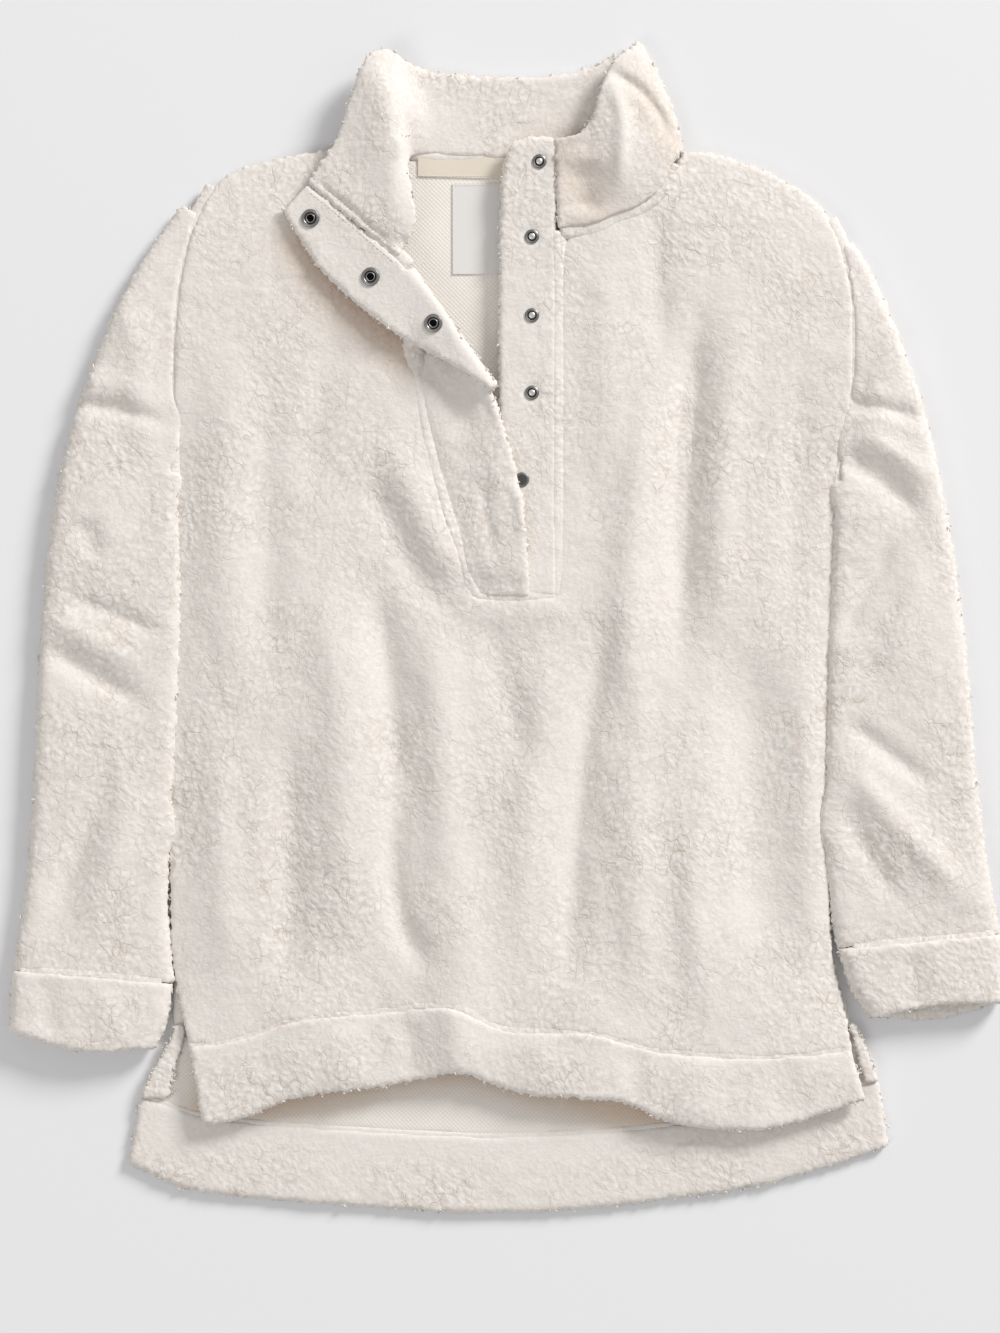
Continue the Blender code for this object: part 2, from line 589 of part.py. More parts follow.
def turned(name, profile, place, sides=14):
    """A round metal piece: a closed profile of (radius, height), the axis left out, spun round."""
    points, faces = [], []
    for k in range(sides):
        angle = 2 * math.pi * k / sides
        points += [(r * math.cos(angle), r * math.sin(angle), z) for r, z in profile]
    ring = len(profile)
    for k in range(sides):
        here, there = k * ring, (k + 1) % sides * ring
        faces += [(here + i + 1, here + i, there + i, there + i + 1) for i in range(ring - 1)]
    points += [(0, 0, profile[0][1]), (0, 0, profile[-1][1])]
    for k in range(sides):
        here, there = k * ring, (k + 1) % sides * ring
        faces.append((len(points) - 2, there, here))
        faces.append((len(points) - 1, here + ring - 1, there + ring - 1))
    thing = finish(name, points, faces, METAL, 0.35, 1.0)
    thing.location = place
    return thing


def make_snaps(under, over):
    stud_r = STUD_ACROSS / 2
    socket_r = SOCKET_ACROSS / 2
    stud = [(stud_r * 0.97, 0), (stud_r, 0.3 * MM), (stud_r * 0.95, 1.1 * MM),
            (stud_r * 0.6, 1.3 * MM), (stud_r * 0.36, 0.7 * MM), (stud_r * 0.30, 1.5 * MM),
            (stud_r * 0.34, 2.1 * MM), (stud_r * 0.2, 2.6 * MM)]
    flat_stud = [(r, min(z, 1.3 * MM)) for r, z in stud[:4]]
    socket = [(socket_r * 0.97, 0), (socket_r, 0.4 * MM), (socket_r * 0.93, 1.7 * MM),
              (socket_r * 0.72, 2.1 * MM), (socket_r * 0.45, 1.8 * MM), (socket_r * 0.38, 0.7 * MM),
              (socket_r * 0.2, 0.6 * MM)]
    studs = [(25, 349), (19.5, 293), (19.5, 234), (19.5, 176), (12, 111)]
    for number, (x, y) in enumerate(studs, 1):
        z = lying_height(under, x * MM, y * MM, stud_r)
        turned(f"stud_{number}", stud if number < len(studs) else flat_stud, (x * MM, y * MM, z))
    sockets = [(-146, 306), (-101, 262), (-54, 227)]
    for number, (x, y) in enumerate(sockets, 1):
        thing = turned(f"socket_{number}", socket, (0, 0, 0))
        lay_on(thing, over, x * MM, y * MM, socket_r)


def lying_height(thing, x, y, radius):
    spots = [(x + radius * math.cos(a), y + radius * math.sin(a))
             for a in np.linspace(0, 2 * math.pi, 8, endpoint=False)]
    return max(height_over([thing], *spot) for spot in [(x, y), *spots]) + 0.3 * MM


def lay_on(piece, cloth, x, y, radius):
    """Lays a flat round piece on sloping cloth, square to it."""
    reach = radius * 0.8
    middle = height_over([cloth], x, y)
    slope_x = (height_over([cloth], x + reach, y) - height_over([cloth], x - reach, y)) / 2
    slope_y = (height_over([cloth], x, y + reach) - height_over([cloth], x, y - reach)) / 2
    normal = Vector((-slope_x / reach, -slope_y / reach, 1)).normalized()
    piece.rotation_euler = Vector((0, 0, 1)).rotation_difference(normal).to_euler()
    piece.location = Vector((x, y, middle)) + normal * 0.6 * MM


def main():
    for thing in list(bpy.data.objects):
        bpy.data.objects.remove(thing, do_unlink=True)
    make_back()
    make_vent_folds()
    make_front()
    make_collar()
    under = make_placket_under()
    over = make_placket_over()
    make_sleeves()
    make_neck_trims()
    make_snaps(under, over)


main()
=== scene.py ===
# %% [markdown]
# # A sherpa fleece pullover, laid flat
# The garment lies on its back on a pale table. Its pieces were cut from sherpa, a knit with a
# deep curly pile on one side, and sewn together. The imported part gives the true size and place of
# each piece as a plain solid. This lesson turns each solid into cloth: it is smoothed, given an
# even fine mesh, creased, and then its pile is raised in small nubs.

# %% Start from the imported part
import math
from collections import namedtuple

import bmesh
import bpy
import numpy as np
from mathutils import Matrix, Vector
from mathutils.bvhtree import BVHTree


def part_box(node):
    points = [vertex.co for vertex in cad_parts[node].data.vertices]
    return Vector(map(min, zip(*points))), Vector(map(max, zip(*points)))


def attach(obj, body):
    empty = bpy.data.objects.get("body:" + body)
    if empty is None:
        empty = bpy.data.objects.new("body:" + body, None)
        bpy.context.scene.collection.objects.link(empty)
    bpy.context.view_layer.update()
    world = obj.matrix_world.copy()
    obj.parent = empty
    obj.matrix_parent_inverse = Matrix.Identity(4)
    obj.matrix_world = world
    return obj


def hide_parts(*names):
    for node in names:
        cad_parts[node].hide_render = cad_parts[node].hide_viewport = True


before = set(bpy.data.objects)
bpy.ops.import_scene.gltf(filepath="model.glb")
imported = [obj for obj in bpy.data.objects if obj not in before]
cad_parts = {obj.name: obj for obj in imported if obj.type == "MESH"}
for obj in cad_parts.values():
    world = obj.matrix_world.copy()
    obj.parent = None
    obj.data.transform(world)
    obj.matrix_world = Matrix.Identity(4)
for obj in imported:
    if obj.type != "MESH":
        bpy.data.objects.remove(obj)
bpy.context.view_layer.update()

MM = 0.001

# %% [markdown]
# ## Handling one piece at a time
# Operators act on whatever is selected, so every helper first leaves only its own piece
# selected. `change` adds a modifier and applies it at once, which keeps each finished piece a
# plain mesh.

# %% Helpers for selecting and changing a piece
def use_only(piece):
    bpy.ops.object.select_all(action="DESELECT")
    piece.select_set(True)
    bpy.context.view_layer.objects.active = piece


def change(piece, kind, **settings):
    """Adds a modifier with these settings and applies it."""
    use_only(piece)
    modifier = piece.modifiers.new(kind.lower(), kind)
    for setting, value in settings.items():
        setattr(modifier, setting, value)
    bpy.ops.object.modifier_apply(modifier=modifier.name)


def add_object(name, data):
    """Puts a mesh, curve, lamp or camera into the scene."""
    thing = bpy.data.objects.new(name, data)
    bpy.context.scene.collection.objects.link(thing)
    return thing


def copy_of(node, name):
    """A copy of a CAD node with its loose triangles merged, and joined into quads again."""
    piece = add_object(name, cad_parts[node].data.copy())
    piece.data.materials.clear()
    use_only(piece)
    bpy.ops.object.mode_set(mode="EDIT")
    bpy.ops.mesh.select_all(action="SELECT")
    bpy.ops.mesh.remove_doubles(threshold=0.01 * MM)
    bpy.ops.mesh.tris_convert_to_quads(face_threshold=math.radians(60),
                                       shape_threshold=math.radians(60))
    bpy.ops.object.mode_set(mode="OBJECT")
    return piece


def pin_rim(piece, angle=60):
    """Creases the sharp rim of the cloth, so that smoothing keeps its outline."""
    mesh = bmesh.new()
    mesh.from_mesh(piece.data)
    crease = mesh.edges.layers.float.new("crease_edge")
    for edge in mesh.edges:
        edge[crease] = float(edge.calc_face_angle(0) > math.radians(angle))
    mesh.to_mesh(piece.data)
    mesh.free()


# %% [markdown]
# ## Reading and moving points
# A mesh with a hundred thousand points is too slow to handle one point at a time, so the points
# go to and from NumPy arrays as a whole.

# %% Helpers for points
def points_of(piece):
    flat = np.empty(len(piece.data.vertices) * 3, np.float32)
    piece.data.vertices.foreach_get("co", flat)
    return flat.reshape(-1, 3).astype(float)


def normals_of(piece):
    flat = np.empty(len(piece.data.vertices) * 3, np.float32)
    piece.data.vertex_normals.foreach_get("vector", flat)
    return flat.reshape(-1, 3).astype(float)


def move_to(piece, points):
    piece.data.vertices.foreach_set("co", points.astype(np.float32).ravel())
    piece.data.update()


def store(piece, name, values):
    """Keeps a value for each point, which a material can read by name."""
    kind, field = ("FLOAT", "value") if values.ndim == 1 else ("FLOAT_VECTOR", "vector")
    layer = piece.data.attributes.new(name, kind, "POINT")
    layer.data.foreach_set(field, values.astype(np.float32).ravel())


def smoothstep(value, low, high):
    share = np.clip((value - low) / (high - low), 0, 1)
    return share * share * (3 - 2 * share)


# %% [markdown]
# ## Chance that repeats
# The pile has to look random and yet come out the same every time. `chance` scrambles the
# numbers of a cell of space into a number from 0 to 1, with no state to keep. `soft_noise` blends
# it smoothly between cells, and `nub_height` drops one seed into each cell and measures how far a
# point is from the border between its two nearest seeds. The borders are the gaps between nubs.

# %% Noise for the pile
def chance(cells, salt):
    x, y, z = (cells[..., i].astype(np.int64) for i in range(3))
    mixed = (x * 374761393 + y * 668265263 + z * 2147483647 + salt * 1274126177) & 0xFFFFFFFF
    mixed = ((mixed ^ (mixed >> 13)) * 1103515245) & 0xFFFFFFFF
    mixed = ((mixed ^ (mixed >> 16)) * 1540483477) & 0xFFFFFFFF
    return ((mixed ^ (mixed >> 15)) & 0xFFFFFF) / 0x1000000


def soft_noise(points, size, salt):
    """A smooth random value from -1 to 1 that changes over about this size."""
    grid = points / size
    cell = np.floor(grid)
    part = grid - cell
    part = part * part * (3 - 2 * part)
    value = np.zeros(len(points))
    for corner in np.ndindex(2, 2, 2):
        weight = np.prod(np.where(corner, part, 1 - part), axis=1)
        value += weight * chance(cell + corner, salt)
    return value * 2 - 1


def nub_height(points, size, salt):
    """How far up its nub each point is: 0 in the gaps between nubs and 1 on their tops."""
    sway = np.stack([soft_noise(points, size * 1.7, salt + k) for k in (1, 2, 3)], axis=1)
    grid = (points + sway * size * 0.4) / size
    cell = np.floor(grid)
    nearest = np.full(len(points), 9.0)
    second = nearest.copy()
    for step in np.ndindex(3, 3, 3):
        home = cell + np.array(step) - 1
        seed = home + np.stack([chance(home, salt + 10 * k) for k in (1, 2, 3)], axis=1)
        apart = ((grid - seed) ** 2).sum(axis=1)
        second = np.minimum(second, np.maximum(nearest, apart))
        nearest = np.minimum(nearest, apart)
    border = np.sqrt(second) - np.sqrt(nearest)
    return smoothstep(border, -0.12, 0.5) * (1 - 0.35 * np.clip(nearest, 0, 1))


# %% [markdown]
# ## Creases
# Cloth that has been picked up and laid down keeps a few soft folds. Each is a row of a table: a
# line through three points, in millimetres as seen from above, how far it reaches to each side,
# and its rise, which is negative in a trough. Each one fades out at its ends.

# %% A helper for creases
Crease = namedtuple("Crease", "start middle end reach rise")


def curve_through(points, steps=16):
    """A smooth curve through a few (x, y) points, in metres."""
    knots = np.array(points, float) * MM
    ends = np.vstack([2 * knots[0] - knots[1], knots, 2 * knots[-1] - knots[-2]])
    line = []
    for a, b, c, d in zip(ends, ends[1:], ends[2:], ends[3:]):
        for t in np.linspace(0, 1, steps, endpoint=False):
            line.append(0.5 * (2 * b + (c - a) * t + (2 * a - 5 * b + 4 * c - d) * t**2
                               + (3 * b - a - 3 * c + d) * t**3))
    return np.array(line + [knots[-1]])


def distance_to(line, points):
    """Each point's distance from a line as seen from above, and how far along it that is."""
    best = np.full(len(points), 9.0)
    share = np.zeros(len(points))
    for i, (a, b) in enumerate(zip(line, line[1:])):
        run = b - a
        along = np.clip(((points[:, :2] - a) @ run) / (run @ run), 0, 1)
        apart = np.linalg.norm(points[:, :2] - a - along[:, None] * run, axis=1)
        nearer = apart < best
        best = np.where(nearer, apart, best)
        share = np.where(nearer, (i + along) / (len(line) - 1), share)
    return best, share


def creased(points, creases):
    """How far these creases raise each point."""
    rise = np.zeros(len(points))
    for crease in creases:
        line = curve_through([crease.start, crease.middle, crease.end], 6)
        reach = crease.reach * MM
        near = np.flatnonzero(
            (points[:, 0] > line[:, 0].min() - 3 * reach)
            & (points[:, 0] < line[:, 0].max() + 3 * reach)
            & (points[:, 1] > line[:, 1].min() - 3 * reach)
            & (points[:, 1] < line[:, 1].max() + 3 * reach))
        apart, share = distance_to(line, points[near])
        fade = smoothstep(np.minimum(share, 1 - share), 0, 0.3)
        rise[near] += crease.rise * MM * np.exp(-(apart / reach) ** 2) * fade
    return rise


# %% [markdown]
# ## Cloth from a solid
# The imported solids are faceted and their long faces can't carry a pile. Subdivision rounds the
# facets, and a voxel remesh then gives squares of one size all over. What never shows, such as
# the inner face of the front, is thinned again to keep the piece light.

# %% A helper that makes cloth
def cloth_from(node, name, grain, levels=2):
    """A smooth copy of a node with an even mesh whose squares measure grain, in millimetres."""
    piece = copy_of(node, name)
    pin_rim(piece)
    if levels:
        change(piece, "SUBSURF", levels=levels, render_levels=levels)
    change(piece, "REMESH", mode="VOXEL", voxel_size=grain * MM)
    change(piece, "SMOOTH", factor=0.5, iterations=3)
    return piece


def thin_out(piece, hidden, keep=0.12):
    """Thins the mesh where hidden is 1, to the given share of its faces."""
    group = piece.vertex_groups.new(name="hidden")
    group.add([int(i) for i in np.flatnonzero(hidden > 0.5)], 1.0, "REPLACE")
    share = float((hidden > 0.5).mean())
    change(piece, "DECIMATE", ratio=1 - share * (1 - keep), vertex_group="hidden",
           vertex_group_factor=1.0)
    piece.vertex_groups.clear()


def inside_hollow(piece, reach=14 * MM):
    """1 for each point that faces another wall of the same piece close in front of it."""
    tree = BVHTree.FromPolygons([v.co for v in piece.data.vertices],
                                [tuple(p.vertices) for p in piece.data.polygons])
    points, normals = points_of(piece), normals_of(piece)
    found = np.zeros(len(points))
    for i, (point, normal) in enumerate(zip(points, normals)):
        start = Vector(point + normal * 0.3 * MM)
        found[i] = tree.ray_cast(start, Vector(normal), reach)[0] is not None
    return found


# %% [markdown]
# ## Raising the pile
# Sherpa's pile is brushed into nubs about as big as a grain of rice. They are real shape: each
# point moves out along its normal by its place on its nub. Larger, softer clumps lie under them.
# The height is kept on the mesh too, so that the finish can paint shade into the gaps. At a free edge
# the pile stands out in tufts, while at a seam it is caught in the stitches. Nothing goes below the
# table.

# %% A helper that raises the pile
NUB = 4.8 * MM
NUB_RISE = 0.82 * MM
CLUMP = 17 * MM
CLUMP_RISE = 0.9 * MM
# Worn and brushed patches this wide differ in how curly they are.
PATCH = 42 * MM
# At an edge the pile stands out sideways in tufts of this size.
TUFT = 4.2 * MM
TUFT_RISE = 2.4 * MM
# Every furry face stands out by this much, which narrows the gaps at the seams.
PLUMP = 0.8 * MM


def raise_pile(piece, where, rise=NUB_RISE, size=NUB):
    """Raises nubs where the mask is 1, and leaves the cloth smooth where it is 0."""
    points, normals = points_of(piece), normals_of(piece)
    nub = (0.68 * nub_height(points, size, 5) + 0.32 * nub_height(points, size * 0.55, 23))
    clump = soft_noise(points, CLUMP, 41) + 0.6 * soft_noise(points, CLUMP * 0.45, 43)
    store(piece, "rest", points)
    curly = np.clip(0.72 + 0.75 * soft_noise(points, PATCH, 61), 0.25, 1.3)
    out = PLUMP + (nub - 0.45) * rise * curly + clump * CLUMP_RISE * 0.5
    edge = 1 - smoothstep(np.abs(normals[:, 2]), 0.35, 0.85)
    edge *= away_from_seams(points)
    out += edge * (nub_height(points, TUFT, 83) - 0.3) * TUFT_RISE
    moved = points + normals * (out * where)[:, None]
    moved[:, 2] = np.maximum(moved[:, 2], 0)
    move_to(piece, moved)
    # The finish paints shade where a point lies low on its nub.
    shown = 0.6 + (nub - 0.6) * np.minimum(curly, 1)
    store(piece, "nub", shown * where + 0.65 * (1 - where))
    store(piece, "curly", curly * where)
    piece.data.shade_smooth()
    print(piece.name, len(piece.data.polygons), "faces")


def dress(piece, material, slot, *nodes):
    """Gives a finished piece its material and hides any nodes that it stands for. The slot is not
    used.
    """
    piece.data.materials.clear()
    piece.data.materials.append(material)
    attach(piece, "root")
    if nodes:
        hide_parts(*nodes)
    return piece


# %% [markdown]
# ## The sherpa finish
# The pile is undyed polyester, cream on its nubs. The browner cream in the gaps is painted shade,
# where light bounces between the fibres. Curls about 2 mm across, too fine to model, are bump.
# Sheen on the shader stands for the light that loose fibres catch at a grazing angle.

# %% The pile as a node group
def new_group(name, inputs, outputs):
    tree = bpy.data.node_groups.new(name, "ShaderNodeTree")
    for title, kind in inputs:
        tree.interface.new_socket(title, in_out="INPUT", socket_type=kind)
    for title, kind in outputs:
        tree.interface.new_socket(title, in_out="OUTPUT", socket_type=kind)
    return tree, tree.nodes.new("NodeGroupInput"), tree.nodes.new("NodeGroupOutput")


def add_node(tree, kind, sources=(), **settings):
    """A node with its settings, whose inputs take a value or another node's output."""
    node = tree.nodes.new(kind)
    for setting, value in settings.items():
        setattr(node, setting, value)
    for title, source in dict(sources).items():
        if isinstance(source, bpy.types.NodeSocket):
            tree.links.new(source, node.inputs[title])
        else:
            node.inputs[title].default_value = source
    return node


def math_node(tree, operation, *values, clamp=False):
    return add_node(tree, "ShaderNodeMath", dict(enumerate(values)), operation=operation,
                    use_clamp=clamp).outputs[0]


def stretched(tree, vector, scale):
    return add_node(tree, "ShaderNodeVectorMath", {0: vector, 1: scale},
                    operation="MULTIPLY").outputs[0]


def blended(tree, factor, first, second, blend="MIX"):
    """Mixes two colours, each a value or another node's output."""
    mix = add_node(tree, "ShaderNodeMix", {0: factor}, data_type="RGBA", blend_type=blend)
    sides = [socket for socket in mix.inputs if socket.type == "RGBA"]
    for side, colour in zip(sides, (first, second)):
        if isinstance(colour, bpy.types.NodeSocket):
            tree.links.new(colour, side)
        else:
            side.default_value = (*colour, 1)
    return mix.outputs[2]


# %% [markdown]
# ## What the pile group does
# The place on the cloth is swayed by noise, so that no pattern runs straight. Small round cells
# give the curls, and the borders of longer cells give the cracks where the pile parts, which show
# in patches only. Fine wisps lie across. Their sum is a height: the bump reads it, and it also
# mixes the colour of the tops with the colour of the gaps, which paints shade into the gaps and
# cracks.

# %% Build the pile group
pile, given, result = new_group(
    "pile", [("Place", "NodeSocketVector"), ("Nub", "NodeSocketFloat"),
             ("Curly", "NodeSocketFloat"), ("Top", "NodeSocketColor"), ("Gap", "NodeSocketColor")],
    [("Colour", "NodeSocketColor"), ("Height", "NodeSocketFloat")])
sway = add_node(pile, "ShaderNodeTexNoise", {"Vector": given.outputs["Place"], "Scale": 150.0,
                                             "Detail": 3.0})
swayed = add_node(pile, "ShaderNodeVectorMath", {0: sway.outputs["Color"], 1: (0.008,) * 3,
                                                 2: given.outputs["Place"]},
                  operation="MULTIPLY_ADD").outputs[0]
curl = add_node(pile, "ShaderNodeTexVoronoi", {"Vector": swayed, "Scale": 330.0,
                                               "Smoothness": 0.5}, feature="SMOOTH_F1").outputs[0]
longer = stretched(pile, swayed, (1.0, 0.62, 1.0))
crack = add_node(pile, "ShaderNodeTexVoronoi", {"Vector": longer, "Scale": 105.0},
                 feature="DISTANCE_TO_EDGE").outputs[0]
crack = add_node(pile, "ShaderNodeMapRange", {"Value": crack, "From Min": 0.0, "From Max": 0.06,
                                              "To Min": 1.0, "To Max": 0.0}).outputs[0]
patch = add_node(pile, "ShaderNodeTexNoise", {"Vector": given.outputs["Place"], "Scale": 60.0,
                                              "Detail": 1.0})
patch = math_node(pile, "MULTIPLY_ADD", patch.outputs["Fac"], 4.5, -1.75, clamp=True)
crack = math_node(pile, "MULTIPLY", math_node(pile, "MULTIPLY", crack, patch),
                  given.outputs["Curly"])
wisp = add_node(pile, "ShaderNodeTexNoise", {
    "Vector": stretched(pile, given.outputs["Place"], (0.38, 1.0, 1.0)),
    "Scale": 620.0, "Detail": 2.0})
height = math_node(pile, "SUBTRACT", given.outputs["Nub"], math_node(pile, "MULTIPLY", curl, 0.4))
height = math_node(pile, "SUBTRACT", height, math_node(pile, "MULTIPLY", crack, 0.7))
height = math_node(pile, "ADD", height,
                   math_node(pile, "MULTIPLY", wisp.outputs["Fac"], 0.35))
pile.links.new(height, result.inputs["Height"])
# Low places take the gap colour: painted shade in the gaps and cracks.
top_share = math_node(pile, "MULTIPLY_ADD", height, 0.75, 0.28, clamp=True)
pile.links.new(blended(pile, top_share, given.outputs["Gap"], given.outputs["Top"]),
               result.inputs["Colour"])

# %% [markdown]
# ## Painted shadow
# Under an edge that stands over other cloth, a brown shadow is painted into the colour, so each
# mesh also says where its colour turns browner. The fleece and the knit both use this.

# %% Build the tint group
# The brown that the painted shadow multiplies into the colour.
SHADOW_BROWN = (0.74, 0.60, 0.49)
tint, given, result = new_group("Painted shadow tint", [("Colour", "NodeSocketColor"),
                                              ("Painted shadow", "NodeSocketFloat")],
                                [("Colour", "NodeSocketColor")])
tint.links.new(blended(tint, given.outputs["Painted shadow"], given.outputs["Colour"], SHADOW_BROWN,
                       "MULTIPLY"), result.inputs["Colour"])
print("tint group with", len(tint.nodes), "nodes")


def with_painted_shadow(tree, colour):
    """This colour, browner with painted shadow where the painted_shadow attribute says so."""
    group = add_node(tree, "ShaderNodeGroup", node_tree=tint)
    painted_shadow = add_node(tree, "ShaderNodeAttribute", attribute_name="painted_shadow")
    tree.links.new(colour, group.inputs["Colour"])
    tree.links.new(painted_shadow.outputs["Fac"], group.inputs["Painted shadow"])
    return group.outputs["Colour"]


# %% The sherpa material
def sherpa_material(name, top, gap, bump=0.3):
    material = bpy.data.materials.new(name)
    material.use_nodes = True
    tree = material.node_tree
    shader = tree.nodes["Principled BSDF"]
    shader.inputs["Roughness"].default_value = 0.95
    shader.inputs["Sheen Weight"].default_value = 0.25
    shader.inputs["Sheen Roughness"].default_value = 0.6
    shader.inputs["Specular IOR Level"].default_value = 0.15
    look = add_node(tree, "ShaderNodeGroup", node_tree=pile)
    for attribute, output, socket in (("rest", "Vector", "Place"), ("nub", "Fac", "Nub"),
                                      ("curly", "Fac", "Curly")):
        read = add_node(tree, "ShaderNodeAttribute", attribute_name=attribute)
        tree.links.new(read.outputs[output], look.inputs[socket])
    look.inputs["Top"].default_value = (*top, 1)
    look.inputs["Gap"].default_value = (*gap, 1)
    tree.links.new(with_painted_shadow(tree, look.outputs["Colour"]), shader.inputs["Base Color"])
    raised = add_node(tree, "ShaderNodeBump", {"Strength": bump, "Distance": 0.0016,
                                               "Height": look.outputs["Height"]})
    tree.links.new(raised.outputs["Normal"], shader.inputs["Normal"])
    return material


# The second colour is the painted shade of the gaps.
sherpa = sherpa_material("sherpa", (0.855, 0.825, 0.795), (0.66, 0.59, 0.525))

# %% [markdown]
# ## The knit on the inside
# Where the cloth's back shows, it is a flat jersey knit with rows of fine stitches. A Voronoi
# pattern with no randomness gives the even dots, about 2.3 mm apart. The tape and the label are
# woven finer, so they take the same dots with a smaller pitch, in millimetres.

# %% Build the dots group
dots, given, result = new_group("Rows of stitches", [("Place", "NodeSocketVector"),
                                                     ("Scale", "NodeSocketFloat")],
                                [("Height", "NodeSocketFloat")])
turned = add_node(dots, "ShaderNodeMapping", {"Vector": given.outputs["Place"],
                                              "Rotation": (0, 0, math.radians(45))})
cells = add_node(dots, "ShaderNodeTexVoronoi", {"Vector": turned.outputs["Vector"],
                                                "Scale": given.outputs["Scale"],
                                                "Randomness": 0.0})
spread = add_node(dots, "ShaderNodeMapRange", {"Value": cells.outputs["Distance"],
                                               "From Min": 0.1, "From Max": 0.6})
dots.links.new(spread.outputs[0], result.inputs["Height"])
print("dots group with", len(dots.nodes), "nodes")


# %% The knit, tape and label materials
def plain_material(name, colour, dark, pitch, bump):
    material = bpy.data.materials.new(name)
    material.use_nodes = True
    tree = material.node_tree
    shader = tree.nodes["Principled BSDF"]
    shader.inputs["Roughness"].default_value = 0.9
    shader.inputs["Sheen Weight"].default_value = 0.15
    height = add_node(tree, "ShaderNodeGroup", node_tree=dots)
    place = add_node(tree, "ShaderNodeTexCoord").outputs["Object"]
    tree.links.new(place, height.inputs["Place"])
    height.inputs["Scale"].default_value = 1000 / pitch
    mixed = blended(tree, height.outputs["Height"], colour, dark)
    tree.links.new(with_painted_shadow(tree, mixed), shader.inputs["Base Color"])
    raised = add_node(tree, "ShaderNodeBump", {"Strength": bump, "Distance": 0.0004,
                                               "Height": height.outputs["Height"]})
    tree.links.new(raised.outputs["Normal"], shader.inputs["Normal"])
    return material


knit = plain_material("knit", (0.95, 0.925, 0.885), (0.83, 0.79, 0.735), 2.3, 0.6)
tape = plain_material("tape", (0.86, 0.79, 0.68), (0.76, 0.69, 0.59), 0.8, 0.4)
label_weave = plain_material("label_weave", (0.82, 0.81, 0.80), (0.76, 0.75, 0.74), 0.5, 0.2)

# %% [markdown]
# ## Where the folds lie
# The wearer's arms and the open placket pull the cloth in different ways: long folds hang from
# the chest, short ones cross the sleeves, and a pull runs from the placket's foot up to the left.
# The collar was pressed flat at its right end, which leaves one sharp fold in it.

